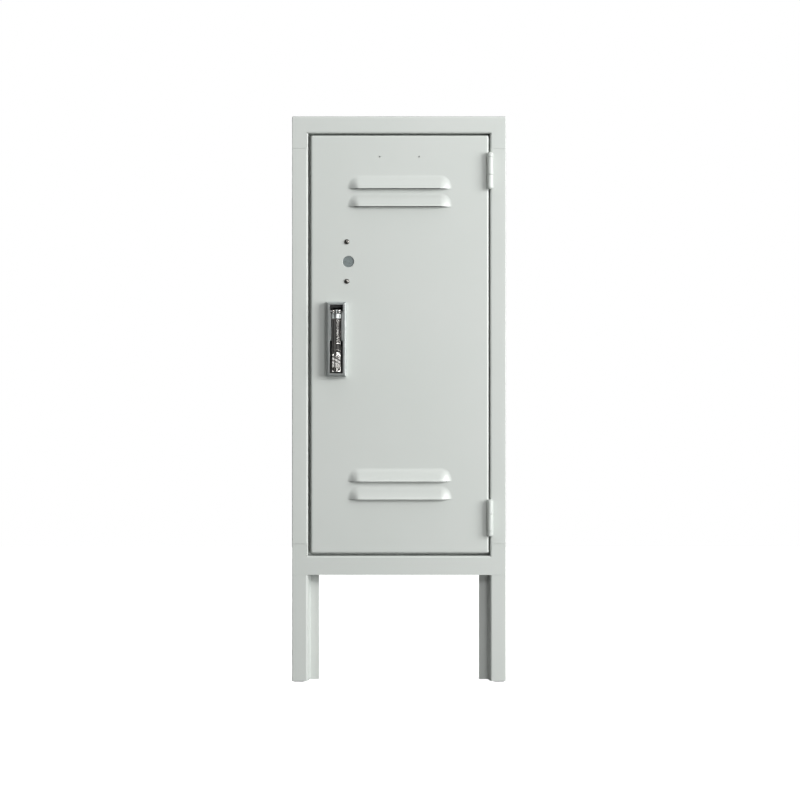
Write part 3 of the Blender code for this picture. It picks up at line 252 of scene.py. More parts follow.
TURNS = {                    # from +Z to each axis that round pieces lie along
    "Z": Matrix.Identity(4),
    "X": Matrix.Rotation(math.radians(90.0), 4, "Y"),
    "-Y": Matrix.Rotation(math.radians(90.0), 4, "X"),
}


def turned(profile, centre, axis, steps=ROUND_STEPS):
    """Closed solid turned from (radius, height) points, from its foot to its top."""
    bm = bmesh.new()
    rings = []
    for radius, height in profile:
        count = steps if radius > MERGE else 1
        angles = [2 * math.pi * i / steps for i in range(count)]
        ring = [bm.verts.new((radius * math.cos(a), radius * math.sin(a), height)) for a in angles]
        rings.append(ring)
    for low, high in zip(rings, rings[1:]):
        for i in range(steps):
            corners = [low[i % len(low)], low[(i + 1) % len(low)]]
            corners += [high[(i + 1) % len(high)], high[i % len(high)]]
            bm.faces.new(list(dict.fromkeys(corners)))
    for ring in (rings[0], rings[-1]):
        if len(ring) > 1:
            bm.faces.new(ring)
    bmesh.ops.recalc_face_normals(bm, faces=bm.faces)
    bmesh.ops.transform(bm, matrix=Matrix.Translation(centre) @ TURNS[axis], verts=bm.verts)
    return bm


def arc(centre, radius, start_deg, end_deg, steps):
    """Points along an arc in a plane."""
    points = []
    for i in range(steps + 1):
        angle = math.radians(start_deg + (end_deg - start_deg) * i / steps)
        points.append((centre[0] + radius * math.cos(angle), centre[1] + radius * math.sin(angle)))
    return points


def round_edges(bm, radius, steps):
    """Rounds every edge that is sharper than ROUND_ABOVE."""
    sharp = []
    for edge in bm.edges:
        if edge.is_manifold and edge.calc_face_angle() > ROUND_ABOVE:
            sharp.append(edge)
    bmesh.ops.bevel(
        bm, geom=sharp, offset=radius, segments=steps, profile=0.5, affect="EDGES", clamp_overlap=True
    )


def shade(thing):
    """Smooth shading that leaves real corners sharp and flat faces flat."""
    thing.data.shade_smooth()
    thing.data.set_sharp_from_angle(angle=SMOOTH_BELOW)
    modifier = thing.modifiers.new("weighted_normals", "WEIGHTED_NORMAL")
    modifier.keep_sharp = True


def settle(thing, body, finish, *nodes):
    """Gives a finished piece its material and its body, and hides the CAD nodes it stands for."""
    shade(thing)
    thing.data.materials.clear()
    thing.data.materials.append(MATERIALS[finish])
    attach(thing, body)
    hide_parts(*nodes)
    return thing


def clean_copy(node):
    """The node's mesh with its split points merged and its flat faces made whole."""
    bm = bmesh.new()
    bm.from_mesh(frame["nodes"][node].data)
    bmesh.ops.remove_doubles(bm, verts=bm.verts, dist=MERGE)
    bmesh.ops.dissolve_limit(bm, angle_limit=FLAT_BELOW, verts=bm.verts, edges=bm.edges)
    return bm


def tighten_corners(bm):
    """Makes the bends along the case's four upright edges tighter, about the same outer faces."""
    wide, tight = OUTER_BEND
    share = tight / wide
    for vert in bm.verts:
        side = math.copysign(1.0, vert.co.x)
        end = math.copysign(1.0, vert.co.y - (CASE_LOW.y + CASE_HIGH.y) / 2)
        face = CASE_HIGH.y if end > 0 else CASE_LOW.y
        centre = Vector((side * (CAD_BOX[1].x - wide), face - end * wide))
        shift = vert.co.xy - centre
        if shift.x * side >= -MERGE and shift.y * end >= -MERGE:
            vert.co.xy = centre + Vector((side, end)) * (wide - tight) + shift * share


def has_outer_corner(node):
    """Whether the node carries one of the case's upright edges."""
    return node.endswith(("_side_panel", "_leg")) or node in ("top_cap", "bottom_base")


def refined(node, body, finish):
    """A CAD node with its edges rounded as bent and deburred metal is."""
    bm = clean_copy(node)
    if has_outer_corner(node):
        tighten_corners(bm)
    round_edges(bm, *EDGES.get(node, EDGE))
    return settle(new_object(node + "_fine", bm), body, finish, node)


def darken_recess():
    """Gives the deep faces inside the handle's pocket a dark chrome: painted shade of the recess."""
    piece = bpy.data.objects["handle_housing_fine"]
    low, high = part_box("handle_housing")
    rim = HANDLE_FLANGE[0]
    piece.data.materials.append(MATERIALS["painted_recess_shade"])
    for face in piece.data.polygons:
        deep = face.center.y > low.y + RECESS_DEPTH
        across = low.x + rim < face.center.x < high.x - rim
        upright = low.z + rim < face.center.z < high.z - rim
        if deep and across and upright:
            # the dark material set here is painted shade inside the pocket
            face.material_index = 1


# ---------------------------------------------------------------- door skin
def proud_points():
    """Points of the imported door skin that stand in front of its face."""
    return [v.co for v in frame["nodes"]["door_skin"].data.vertices if v.co.y < FRONT - FIT]


def louvre_feet():
    """Height of the foot of each louvre, from the lowest up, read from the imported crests."""
    crest = DOOR_LOW.y + FIT
    heights = sorted(point.z for point in proud_points() if point.y < crest)
    feet = []
    for height in heights:
        if not feet or height - feet[-1] > LOUVRE_APART:
            feet.append(height)
    return feet


def press(across, up):
    """Height of a pressing, as a share of its crest, at a distance from its crest line."""
    reach = (across ** LOUVRE_SQUARE + up ** LOUVRE_SQUARE) ** (1.0 / LOUVRE_SQUARE)
    if reach >= 1.0:
        return 0.0
    return 0.5 + 0.5 * math.cos(math.pi * reach ** LOUVRE_CURVE)


class Louvre:
    """A pressed louvre: its place on the door, and how far it stands out at each point."""

    def __init__(self, foot, height, left, right):
        self.foot = foot
        self.height = height
        self.middle = (left + right) / 2
        self.straight = (right - left) / 2 - LOUVRE_END
        self.proud = FRONT - DOOR_LOW.y

    def at(self, x, z):
        """How far the louvre stands in front of the door at a point of its face."""
        across = max(0.0, abs(x - self.middle) - self.straight) / LOUVRE_END
        rise = max(0.0, z - self.foot) / self.height
        up = LOUVRE_LEAN + (1.0 - LOUVRE_LEAN) * rise
        return self.proud * press(across, up) / press(0.0, LOUVRE_LEAN)

    def columns(self):
        """X of the mesh columns, close together in the rounded ends."""
        end = [self.straight + LOUVRE_END * i / LOUVRE_END_COLUMNS for i in range(LOUVRE_END_COLUMNS + 1)]
        half = LOUVRE_MIDDLE_COLUMNS // 2
        middle = [self.straight * i / half for i in range(half)]
        right = middle + end
        return [self.middle - x for x in reversed(right[1:])] + [self.middle + x for x in right]

    def solid(self, behind, rear, below):
        """Closed solid between the pressed surface, shifted back by behind, and a plane at rear."""
        bm = bmesh.new()
        columns = self.columns()
        rows = [self.foot + self.height * j / LOUVRE_ROWS for j in range(LOUVRE_ROWS + 1)]
        if below > 0.0:
            rows.insert(0, self.foot - below)
        front = [[bm.verts.new((x, FRONT + behind - self.at(x, z), z)) for x in columns] for z in rows]
        back = [[bm.verts.new((x, rear, z)) for x in columns] for z in rows]
        for j in range(len(rows) - 1):
            for i in range(len(columns) - 1):
                bm.faces.new((front[j][i], front[j][i + 1], front[j + 1][i + 1], front[j + 1][i]))
                bm.faces.new((back[j][i], back[j + 1][i], back[j + 1][i + 1], back[j][i + 1]))
        for j in range(len(rows) - 1):
            for i in (0, -1):
                bm.faces.new((front[j][i], front[j + 1][i], back[j + 1][i], back[j][i]))
        for i in range(len(columns) - 1):
            for j in (0, -1):
                bm.faces.new((front[j][i], front[j][i + 1], back[j][i + 1], back[j][i]))
        bmesh.ops.recalc_face_normals(bm, faces=bm.faces)
        return bm


def louvres():
    """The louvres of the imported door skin, all of one size."""
    points = proud_points()
    feet = louvre_feet()
    left = min(point.x for point in points)
    right = max(point.x for point in points)
    height = max(point.z for point in points) - feet[-1]
    return [Louvre(foot, height, left, right) for foot in feet]


def rolled_hole(radius, x, z, roll):
    """Cutter for a round hole through the sheet whose front edge is rounded."""
    curve = [(radius + roll - r, h - roll) for r, h in arc((0.0, 0.0), roll, 0, 90, HOLE_ROLL_STEPS)]
    profile = [(radius, -4 * SHEET)] + curve + [(radius + roll, 4 * SHEET)]
    return turned(profile, (x, FRONT, z), "-Y")


def door_pan():
    """The folded sheet: front, four sides and a lip all round at the rear."""
    bm = block((DOOR_LOW.x, FRONT, DOOR_LOW.z), DOOR_HIGH)
    bm.normal_update()
    rear = [face for face in bm.faces if face.normal.y > 0.9]
    bmesh.ops.inset_region(bm, faces=rear, thickness=DOOR_LIP)
    bmesh.ops.delete(bm, geom=rear, context="FACES")
    folds = [edge for edge in bm.edges if edge.is_manifold and edge.calc_face_angle() > ROUND_ABOVE]
    bmesh.ops.bevel(bm, geom=folds, offset=BEND, segments=BEND_STEPS, profile=0.5, affect="EDGES")
    made = new_object("door_skin_fine", bm)
    modifier = made.modifiers.new("sheet", "SOLIDIFY")
    modifier.thickness = SHEET
    modifier.offset = -1.0
    modifier.use_even_offset = True
    return bake(made)


def label_holes(middle):
    """Cutters for the two pinholes of a label holder, above the louvres."""
    height = DOOR_HIGH.z - LABEL_HOLE_DROP
    places = [middle + side * LABEL_HOLE_SPACING / 2 for side in (-1, 1)]
    return [rolled_hole(LABEL_HOLE_RADIUS, x, height, LABEL_HOLE_ROLL) for x in places]


def lock_holes():
    """Cutters for the lock hole and for its two fasteners."""
    fasteners = [middle_of("upper_lock_fastener"), middle_of("lower_lock_fastener")]
    lock = (fasteners[0] + fasteners[1]) / 2
    cutters = [rolled_hole(LOCK_HOLE_RADIUS, lock.x + LOCK_HOLE_SHIFT, lock.z, HOLE_ROLL)]
    for point in fasteners:
        cutters.append(rolled_hole(RIVET_RADIUS + FIT, point.x, point.z, SMALL_HOLE_ROLL))
    return cutters


def handle_holes():
    """Cutters for the handle's two screws and for its tub."""
    cutters = []
    for name in ("upper_handle_screw", "lower_handle_screw"):
        point = middle_of(name)
        cutters.append(rolled_hole(SCREW_HOLE_RADIUS, point.x, point.z, SMALL_HOLE_ROLL))
    low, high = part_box("handle_housing")
    side, end = (flange - HANDLE_CLEAR for flange in HANDLE_FLANGE)
    tub_low = (low.x + side, FRONT - SHEET, low.z + end)
    tub_high = (high.x - side, FRONT + 2 * SHEET, high.z - end)
    return cutters + [block(tub_low, tub_high)]


def door_skin():
    """The door pan with its louvres pressed out and all its holes cut."""
    made = door_pan()
    rows = louvres()
    hoods = [row.solid(SINK, FRONT + SHEET / 2, 0.0) for row in rows]
    combine(made, "UNION", joined("hoods", hoods))
    cutters = [row.solid(SHEET + SINK, FRONT + 2 * SHEET, LOUVRE_SLIT) for row in rows]
    cutters += label_holes(rows[0].middle / 2)
    cutters += lock_holes()
    cutters += handle_holes()
    combine(made, "DIFFERENCE", joined("door_cutters", cutters))
    return settle(made, "door", "paint", "door_skin")


# ---------------------------------------------------------------- small turned parts
def lock_fastener(node):
    """Dome-headed bolt: a low dome with a small flange, and a plain shank behind it."""
    low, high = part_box(node)
    radius = (high.x - low.x) / 2
    foot = FIT
    tall = FRONT - low.y - foot
    quarter = arc((0.0, 0.0), 1.0, DOME_FLANGE_DEG, 90, DOME_STEPS)
    dome = [(radius * r, foot + tall * h) for r, h in quarter]
    dome[-1] = (0.0, foot + tall)
    shank = FRONT - high.y
    profile = [(0.0, shank), (RIVET_RADIUS, shank), (RIVET_RADIUS, foot), (dome[0][0], foot)] + dome
    centre = ((low.x + high.x) / 2, FRONT, (low.z + high.z) / 2)
    made = new_object(node + "_fine", turned(profile, centre, "-Y"))
    return settle(made, "door", "dark_steel", node)


# ---------------------------------------------------------------- hinges
def rounded_bar(radius, low, high, edge):
    """Profile of a round bar whose end edges are rounded."""
    foot = arc((radius - edge, low + edge), edge, -90, 0, KNUCKLE_EDGE_STEPS)
    top = arc((radius - edge, high - edge), edge, 0, 90, KNUCKLE_EDGE_STEPS)
    return foot + top


def knuckle_spans(node, front):
    """Lower and upper end of each knuckle, read from the points at the front of the barrel."""
    points = frame["nodes"][node].data.vertices
    heights = sorted({round(v.co.z, 5) for v in points if v.co.y < front + 2 * SINK})
    return list(zip(heights[0::2], heights[1::2]))


def hinge_leaf(node, body, axis):
    """A leaf: its plate, its knuckles, each joined to the plate by a web, and the bore through them."""
    low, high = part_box(node)
    radius = axis.y - low.y
    plate = [v.co for v in frame["nodes"][node].data.vertices if v.co.y > high.y - SINK]
    x_a, x_b = min(p.x for p in plate), max(p.x for p in plate)
    z_a, z_b = min(p.z for p in plate), max(p.z for p in plate)
    plate_front = axis.y + radius + LEAF_SETBACK
    made = new_object(node + "_fine", block((x_a, plate_front, z_a), (x_b, high.y, z_b)))
    for start, end in knuckle_spans(node, low.y):
        barrel = turned(rounded_bar(radius, start, end, KNUCKLE_EDGE), (axis.x, axis.y, 0.0), "Z")
        web_low = (x_a, axis.y + HINGE_BORE, start + KNUCKLE_EDGE)
        web = block(web_low, (x_b, plate_front + SHEET, end - KNUCKLE_EDGE))
        combine(made, "UNION", new_object("web", web), new_object("barrel", barrel))
    profile = [(HINGE_BORE, z_a - radius), (HINGE_BORE, z_b + radius)]
    bore = turned(profile, (axis.x, axis.y, 0.0), "Z", BORE_STEPS)
    combine(made, "DIFFERENCE", new_object("bore", bore))
    return settle(made, body, "paint", node)


def hinge_pin(node, axis):
    """Pin with a rounded button at each end."""
    low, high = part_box(node)
    pin = HINGE_BORE - PIN_CLEAR
    under_top = high.z - PIN_HEAD_RISE
    over_foot = low.z + PIN_HEAD_RISE
    quarter = arc((0.0, 0.0), 1.0, 0, 90, PIN_HEAD_STEPS)
    top = [(PIN_HEAD_RADIUS * r, under_top + PIN_HEAD_RISE * h) for r, h in quarter]
    foot = [(PIN_HEAD_RADIUS * r, over_foot - PIN_HEAD_RISE * h) for r, h in reversed(quarter)]
    foot[0] = (0.0, low.z)
    top[-1] = (0.0, high.z)
    profile = foot + [(pin, over_foot), (pin, under_top)] + top
    made = new_object(node + "_fine", turned(profile, (axis.x, axis.y, 0.0), "Z"))
    return settle(made, "case", "paint", node)


def hinges():
    """Both hinges: the frame's leaf and the pin stay with the case, the door's leaf swings."""
    axis = hinge_line("door_swing")
    for level in ("upper", "lower"):
        hinge_leaf(level + "_hinge_frame_leaf", "case", axis)
        hinge_leaf(level + "_hinge_door_leaf", "door", axis)
        hinge_pin(level + "_hinge_pin", axis)


# ---------------------------------------------------------------- lever
def side_outline(node):
    """(y, z) points round the node's side face, in order, read from its mesh."""
    bm = clean_copy(node)
    bm.normal_update()
    side = max(vert.co.x for vert in bm.verts)
    faces = [f for f in bm.faces if f.normal.x > 0.9 and f.calc_center_median().x > side - SINK]
    middle = max(faces, key=lambda f: f.calc_area()).calc_center_median()
    border = {}
    for f in faces:
        for loop in f.loops:
            if not all(other in faces for other in loop.edge.link_faces):
                border[loop.vert] = loop.link_loop_next.vert
    start = max(border, key=lambda vert: (vert.co - middle).length)
    points = [start]
    while border[points[-1]] is not start:
        points.append(border[points[-1]])
    outline = [Vector((p.co.y, p.co.z)) for p in points]
    bm.free()
    return outline


def resampled(outline, step):
    """The same closed outline with points no further apart than step."""
    points = []
    for a, b in zip(outline, outline[1:] + outline[:1]):
        count = max(1, math.ceil((b - a).length / step))
        points += [a.lerp(b, i / count) for i in range(count)]
    return points


def outward_normals(outline):
    """The direction out of the closed outline at each of its points."""
    area = sum(a.x * b.y - b.x * a.y for a, b in zip(outline, outline[1:] + outline[:1]))
    turn = 1.0 if area > 0 else -1.0
    normals = []
    for i in range(len(outline)):
        along = outline[(i + 1) % len(outline)] - outline[i - 1]
        normals.append(Vector((along.y, -along.x)).normalized() * turn)
    return normals


def lever_sections(half):
    """Places across the lever with how far its front falls back and its outline shrinks there."""
    sections = []
    for i in range(LEVER_STATIONS + 1):
        place = half * math.sin(math.pi / 2 * i / LEVER_STATIONS)
        past = min(1.0, max(0.0, place - LEVER_FLAT) / LEVER_FACET)
        corner = max(0.0, place - (half - LEVER_EDGE)) / LEVER_EDGE
        shrink = LEVER_EDGE * (1.0 - math.sqrt(max(0.0, 1.0 - corner ** 2)))
        sections.append((place, LEVER_CROWN * past, shrink))
    return [(-x, crown, shrink) for x, crown, shrink in reversed(sections[1:])] + sections


def ripple(x, z, foot):
    """Soft waves across the finger grip, fading out at both ends."""
    low, high = (foot + limit for limit in RIPPLE_RANGE)
    if not low < z < high:
        return 0.0
    fade = math.sin(math.pi * (z - low) / (high - low))
    return RIPPLE_HEIGHT * fade * math.sin(2 * math.pi * (z + RIPPLE_SKEW * x) / RIPPLE_PITCH)


def head_lean(z, pivot_z):
    """How far the head of the lever, below its pivot, leans back at a height."""
    top = pivot_z - HEAD_DROP
    share = (z - (top - HEAD_HEIGHT)) / HEAD_HEIGHT
    return HEAD_LEAN * share if 0.0 < share < HEAD_REACH else 0.0


def handle_lever():
    """The lever's outline carried across its width, ridged in front, with its tail and bore."""
    low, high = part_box("handle_lever")
    middle = (low.x + high.x) / 2
    pivot = hinge_line("handle_lift")
    outline = resampled(side_outline("handle_lever"), LEVER_STEP)
    normals = outward_normals(outline)
    bm = bmesh.new()
    rows = []
    for x, crown, shrink in lever_sections((high.x - low.x) / 2):
        row = []
        for point, normal in zip(outline, normals):
            forward = max(0.0, -normal.x)
            fall = crown + ripple(x, point.y, low.z) + head_lean(point.y, pivot.z)
            inset = shrink + fall * forward ** 2
            y, z = point - normal * inset
            row.append(bm.verts.new((middle + x, y, z)))
        rows.append(row)
    count = len(outline)
    for near, far in zip(rows, rows[1:]):
        for i in range(count):
            bm.faces.new((near[i], near[(i + 1) % count], far[(i + 1) % count], far[i]))
    bm.faces.new(rows[0])
    bm.faces.new(rows[-1])
    bmesh.ops.recalc_face_normals(bm, faces=bm.faces)
    made = new_object("handle_lever_fine", bm)
    tail = block(
        (middle - TAIL_HALF, pivot.y + TAIL_HALF, pivot.z - TAIL_HALF),
        (middle + TAIL_HALF, high.y, pivot.z + TAIL_HALF),
    )
    round_edges(tail, *EDGE)
    combine(made, "UNION", new_object("tail", tail))
    profile = [(BORE_RADIUS, low.x - SHEET), (BORE_RADIUS, high.x + SHEET)]
    bore = turned(profile, (0.0, pivot.y, pivot.z), "X", BORE_STEPS)
    combine(made, "DIFFERENCE", new_object("bore", bore))
    settle(made, "lever", "bright_chrome", "handle_lever")
    dull_head(made, pivot.z - HEAD_DROP - HEAD_HEIGHT)


def dull_head(piece, foot):
    """The head of the lever is satin, above the polished finger plate."""
    piece.data.materials.append(MATERIALS["chrome"])
    for face in piece.data.polygons:
        if face.center.z > foot and face.center.y < FRONT:
            face.material_index = 1


# ---------------------------------------------------------------- materials
def add_node(tree, kind, inputs=None, **settings):
    """A node with its settings; an input is a plain value, or a socket to link from."""
    made = tree.nodes.new(kind)
    for name, value in settings.items():
        setattr(made, name, value)
    for name, value in (inputs or {}).items():
        if isinstance(value, bpy.types.NodeSocket):
            tree.links.new(value, made.inputs[name])
        else:
            made.inputs[name].default_value = value
    return made


class Finish:
    """A material being built, with short ways to add the patterns that it is made of."""

    def __init__(self, name, colour, roughness, metallic=0.0):
        self.material = bpy.data.materials.new(name)
        self.material.use_nodes = True
        self.tree = self.material.node_tree
        self.shader = self.tree.nodes["Principled BSDF"]
        self.shader.inputs["Base Color"].default_value = (*colour, 1.0)
        self.shader.inputs["Roughness"].default_value = roughness
        self.shader.inputs["Metallic"].default_value = metallic
        self.place = add_node(self.tree, "ShaderNodeTexCoord").outputs["Object"]

    def stretched(self, scale):
        """Places for a pattern that is drawn out along an axis whose scale is below 1."""
        return add_node(self.tree, "ShaderNodeMapping", {"Vector": self.place, "Scale": scale}).outputs[0]

    def noise(self, scale, detail=3.0, place=None):
        """Soft noise whose features are about 1 / scale metres across."""
        inputs = {"Vector": place or self.place, "Scale": scale, "Detail": detail}
        return add_node(self.tree, "ShaderNodeTexNoise", inputs).outputs["Fac"]

    def cells(self, scale):
        """Patches with sharp borders, each of one random colour."""
        inputs = {"Vector": self.place, "Scale": scale}
        return add_node(self.tree, "ShaderNodeTexVoronoi", inputs).outputs["Color"]

    def remap(self, value, low, high, start=0.3, end=0.7):
        """The value carried from the range start to end over to the range low to high."""
        inputs = {"Value": value, "From Min": start, "From Max": end, "To Min": low, "To Max": high}
        return add_node(self.tree, "ShaderNodeMapRange", inputs).outputs["Result"]

    def times(self, a, b):
        """The product of two sockets or values."""
        made = add_node(self.tree, "ShaderNodeMath", operation="MULTIPLY")
        for socket, value in zip(made.inputs, (a, b)):
            if isinstance(value, bpy.types.NodeSocket):
                self.tree.links.new(value, socket)
            else:
                socket.default_value = value
        return made.outputs[0]

    def mix(self, factor, colour_a, colour_b):
        """The first colour where the factor is 0, the second where it is 1."""
        made = add_node(self.tree, "ShaderNodeMix", data_type="RGBA")
        sockets = (made.inputs[0], made.inputs[6], made.inputs[7])
        for socket, value in zip(sockets, (factor, colour_a, colour_b)):
            if isinstance(value, bpy.types.NodeSocket):
                self.tree.links.new(value, socket)
            else:
                socket.default_value = (*value, 1.0)
        return made.outputs[2]

    def edges(self, radius, patchiness):
        """1 along sharp outer and inner edges, broken up by noise, and 0 on flat faces."""
        bevel = add_node(self.tree, "ShaderNodeBevel", {"Radius": radius}, samples=4).outputs["Normal"]
        normal = add_node(self.tree, "ShaderNodeNewGeometry").outputs["Normal"]
        same = add_node(self.tree, "ShaderNodeVectorMath", operation="DOT_PRODUCT")
        self.tree.links.new(bevel, same.inputs[0])
        self.tree.links.new(normal, same.inputs[1])
        bent = self.remap(same.outputs["Value"], 1.0, 0.0, 0.80, 0.99)
        return self.times(bent, self.remap(self.noise(patchiness), 0.0, 1.0, 0.42, 0.62))

    def bump(self, height, distance, strength=1.0, normal=None):
        inputs = {"Height": height, "Distance": distance, "Strength": strength}
        if normal is not None:
            inputs["Normal"] = normal
        return add_node(self.tree, "ShaderNodeBump", inputs).outputs["Normal"]

    def link(self, name, value):
        self.tree.links.new(value, self.shader.inputs[name])

    def tones(self, pattern, colour_a, colour_b, start=0.3, end=0.7):
        """Base colour that drifts between two tones with a pattern."""
        self.link("Base Color", self.mix(self.remap(pattern, 0.0, 1.0, start, end), colour_a, colour_b))

    def gloss(self, pattern, low, high, start=0.3, end=0.7):
        """Roughness that drifts between two values with a pattern."""
        self.link("Roughness", self.remap(pattern, low, high, start, end))

    def relief(self, pattern, distance, strength):
        """Fine surface relief that follows a pattern."""
        self.link("Normal", self.bump(pattern, distance, strength))


def paint():
    """Powder-coated steel: orange peel, faint drift of tone, and a painted highlight that makes it lighter
    along its sharp edges.
    """
    made = Finish("paint_coat", (0.60, 0.63, 0.60), 0.40)
    drift = made.mix(made.remap(made.noise(5.0), 0.0, 1.0), (0.588, 0.622, 0.592), (0.606, 0.634, 0.608))
    speck = made.mix(made.remap(made.noise(1400.0, 2.0), 0.0, 0.35, 0.58, 0.75), drift, (0.54, 0.57, 0.54))
    # painted highlight: lighter paint colour along sharp edges, broken up by noise
    painted_edge_highlight = made.times(made.edges(0.0009, 160.0), 0.45)
    made.link("Base Color", made.mix(painted_edge_highlight, speck, (0.70, 0.72, 0.69)))
    made.gloss(made.noise(60.0, 4.0), 0.34, 0.46)
    made.relief(made.noise(620.0, 2.0), 0.00004, 0.5)
    made.shader.inputs["Coat Weight"].default_value = 0.12
    made.shader.inputs["Coat Roughness"].default_value = 0.18
    return made.material


def bright_chrome():
    """Polished chrome on a die casting: slight waves, fine scratches and faint haze."""
    made = Finish("bright_chrome_plate", (0.78, 0.77, 0.75), 0.08, 1.0)
    made.tones(made.noise(90.0), (0.66, 0.65, 0.63), (0.56, 0.54, 0.51))
    scratches = made.noise(900.0, 2.0, made.stretched((1.0, 1.0, 0.06)))
    made.gloss(scratches, 0.09, 0.20)
    waves = made.bump(made.noise(140.0, 1.0), 0.00012, 0.6)
    made.link("Normal", made.bump(scratches, 0.000006, 0.5, waves))
    return made.material


def satin_chrome():
    """Satin chrome of the bezel and the lever's head: a fine grain, with a painted highlight that makes
    its sharp edges lighter.
    """
    made = Finish("satin_chrome_plate", (0.45, 0.48, 0.47), 0.36, 1.0)
    drift = made.remap(made.noise(110.0), 0.0, 1.0)
    tone = made.mix(drift, (0.47, 0.51, 0.50), (0.54, 0.56, 0.55))
    # painted highlight: lighter chrome colour along sharp edges
    made.link("Base Color", made.mix(made.edges(0.0007, 240.0), tone, (0.66, 0.67, 0.66)))
    grain = made.noise(1500.0, 2.0, made.stretched((1.0, 1.0, 0.15)))
    made.gloss(grain, 0.30, 0.42)
    made.relief(grain, 0.00001, 0.6)
    return made.material


def painted_recess_shade():
    """Dark chrome inside the handle's pocket: painted shade of the recess."""
    # dark base colour: painted shade inside the pocket
    made = Finish("painted_recess_shade_plate", (0.13, 0.13, 0.13), 0.5, 0.9)
    made.tones(made.noise(160.0), (0.10, 0.10, 0.10), (0.17, 0.17, 0.165))
    made.gloss(made.noise(500.0), 0.42, 0.6)
    made.relief(made.noise(900.0), 0.00002, 0.5)
    return made.material


def zinc_steel():
    """Zinc plating: small crystal patches that differ in tone and gloss."""
    made = Finish("zinc_plate", (0.62, 0.63, 0.64), 0.38, 1.0)
    patches = made.cells(420.0)
    made.tones(patches, (0.56, 0.58, 0.60), (0.70, 0.70, 0.68), 0.0, 1.0)
    made.gloss(patches, 0.28, 0.50, 0.0, 1.0)
    made.relief(made.noise(700.0), 0.00002, 0.5)
    return made.material


def grey_steel():
    """Bare grey plate behind the lock hole: fine matt speckle."""
    made = Finish("grey_plate", (0.17, 0.20, 0.20), 0.55, 0.3)
    made.tones(made.noise(900.0, 4.0), (0.13, 0.155, 0.155), (0.25, 0.29, 0.29), 0.38, 0.62)
    made.gloss(made.noise(300.0), 0.45, 0.65)
    made.relief(made.noise(1100.0, 3.0), 0.00005, 0.7)
    return made.material


def dark_steel():
    """Dark nickel of the dome-headed bolts."""
    made = Finish("dark_nickel", (0.16, 0.15, 0.14), 0.24, 1.0)
    made.tones(made.noise(300.0), (0.15, 0.145, 0.14), (0.24, 0.23, 0.21))
    made.gloss(made.noise(800.0), 0.16, 0.32)
    made.relief(made.noise(1600.0), 0.000008, 0.5)
    return made.material


def black_plastic():
    """Moulded nylon of the glides: fine grain, a little cloudy."""
    made = Finish("black_nylon", (0.02, 0.02, 0.022), 0.5)
    made.tones(made.noise(200.0), (0.018, 0.018, 0.02), (0.035, 0.035, 0.036))
    made.gloss(made.noise(500.0), 0.42, 0.62)
    made.relief(made.noise(1300.0), 0.00004, 0.6)
    return made.material


def grey_rubber():
    """Matt rubber of the door bumpers."""
    made = Finish("soft_rubber", (0.20, 0.20, 0.20), 0.8)
    made.tones(made.noise(240.0), (0.17, 0.17, 0.17), (0.24, 0.24, 0.235))
    made.gloss(made.noise(420.0), 0.7, 0.9)
    made.relief(made.noise(900.0), 0.00006, 0.7)
    return made.material


def floor_material():
    """Pale floor that glows enough to run into the white background."""
    made = Finish("studio_floor", (0.92, 0.92, 0.92), 0.7)
    made.tones(made.noise(1.5), (0.91, 0.91, 0.91), (0.94, 0.94, 0.94))
    made.shader.inputs["Emission Color"].default_value = (1.0, 1.0, 1.0, 1.0)
    made.shader.inputs["Emission Strength"].default_value = FLOOR_GLOW
    return made.material


MATERIALS = {
    "paint": paint(),
    "chrome": satin_chrome(),
    "bright_chrome": bright_chrome(),
    "painted_recess_shade": painted_recess_shade(),
    "zinc_steel": zinc_steel(),
    "grey_steel": grey_steel(),
    "dark_steel": dark_steel(),
    "black_plastic": black_plastic(),
    "grey_rubber": grey_rubber(),
}


# ---------------------------------------------------------------- studio
def camera():
    """Looks level and straight at the front of the case."""
    data = bpy.data.cameras.new("camera")
    data.lens = CAMERA_LENS
    data.sensor_width = CAMERA_SENSOR
    made = bpy.data.objects.new("camera", data)
    made.location = (CAMERA_SIDE, FRONT - CAMERA_DISTANCE, CAMERA_HEIGHT)
    made.rotation_euler = (math.radians(90.0), 0.0, 0.0)
    bpy.context.scene.collection.objects.link(made)
    bpy.context.scene.camera = made


def area_light(name, place, target, size, power):
    """Soft light that the camera doesn't see."""
    data = bpy.data.lights.new(name, "AREA")
    data.shape = "RECTANGLE"
    data.size, data.size_y = size
    data.energy = power
    made = bpy.data.objects.new(name, data)
    made.location = place
    made.rotation_euler = (Vector(target) - Vector(place)).to_track_quat("-Z", "Y").to_euler()
    made.visible_camera = False
    bpy.context.scene.collection.objects.link(made)


def lights():
    """Every light faces the middle of the front or of the back of the case."""
    faces = {"front": FRONT, "back": -FRONT}
    for name, (place, side, size, power) in LIGHTS.items():
        area_light(name, place, (0.0, faces[side], MIDDLE_HEIGHT), size, power)


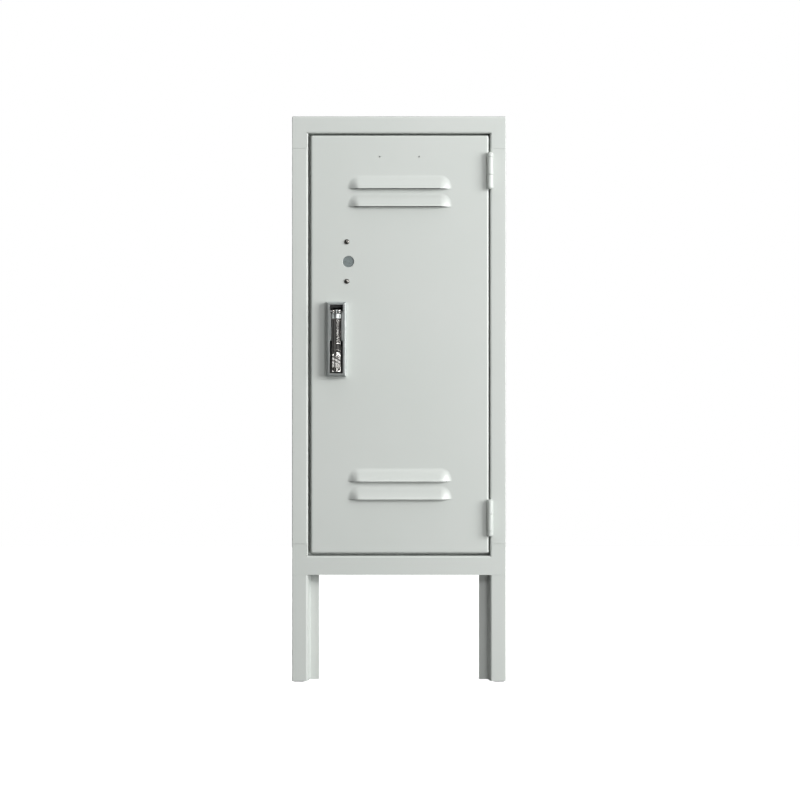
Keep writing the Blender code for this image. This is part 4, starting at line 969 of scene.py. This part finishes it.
def world():
    """White behind the object; for reflections and bounce, a dim room that is dark in front of it."""
    made = bpy.data.worlds.new("studio")
    made.use_nodes = True
    tree = made.node_tree
    tree.nodes.clear()
    towards = add_node(tree, "ShaderNodeTexCoord").outputs["Generated"]
    parts = add_node(tree, "ShaderNodeSeparateXYZ", {"Vector": towards})
    inputs = {"Value": parts.outputs["Y"]}
    inputs["From Min"], inputs["From Max"] = ROOM_EDGE
    inputs["To Min"], inputs["To Max"] = ROOM_LIGHT
    ramp = add_node(tree, "ShaderNodeMapRange", inputs, interpolation_type="SMOOTHSTEP")
    room = add_node(tree, "ShaderNodeBackground", {"Color": (1.0, 1.0, 1.0, 1.0)})
    tree.links.new(ramp.outputs["Result"], room.inputs["Strength"])
    white = add_node(tree, "ShaderNodeBackground", {"Color": (1.0, 1.0, 1.0, 1.0), "Strength": 1.0})
    seen = add_node(tree, "ShaderNodeLightPath").outputs["Is Camera Ray"]
    both = add_node(tree, "ShaderNodeMixShader", {"Fac": seen})
    tree.links.new(room.outputs[0], both.inputs[1])
    tree.links.new(white.outputs[0], both.inputs[2])
    out = add_node(tree, "ShaderNodeOutputWorld")
    tree.links.new(both.outputs[0], out.inputs["Surface"])
    bpy.context.scene.world = made


def floor():
    """Flat floor that gives the object no bounced or mirrored light."""
    bm = bmesh.new()
    bmesh.ops.create_grid(bm, x_segments=FLOOR_CELLS, y_segments=FLOOR_CELLS, size=FLOOR_HALF)
    made = new_object("floor", bm)
    made.data.materials.append(floor_material())
    made.visible_diffuse = False
    made.visible_glossy = False


def build():
    """Every node gets a finer piece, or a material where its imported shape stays."""
    custom = {"door_skin", "handle_lever"}
    custom |= {f"{level}_lock_fastener" for level in ("upper", "lower")}
    custom |= {name for name in frame["nodes"] if "_hinge_" in name}
    for body, members in frame["record"]["behaviour"]["bodies"].items():
        for node in members:
            finish = frame["nodes"][node].data.materials[0].name
            if node in AS_PACKED:
                frame["nodes"][node].material_slots[0].material = MATERIALS[finish]
            elif node not in custom:
                refined(node, body, finish)
    darken_recess()
    door_skin()
    handle_lever()
    hinges()
    for level in ("upper", "lower"):
        lock_fastener(level + "_lock_fastener")


build()
camera()
lights()
world()
floor()
bpy.context.scene.view_settings.view_transform = "Standard"
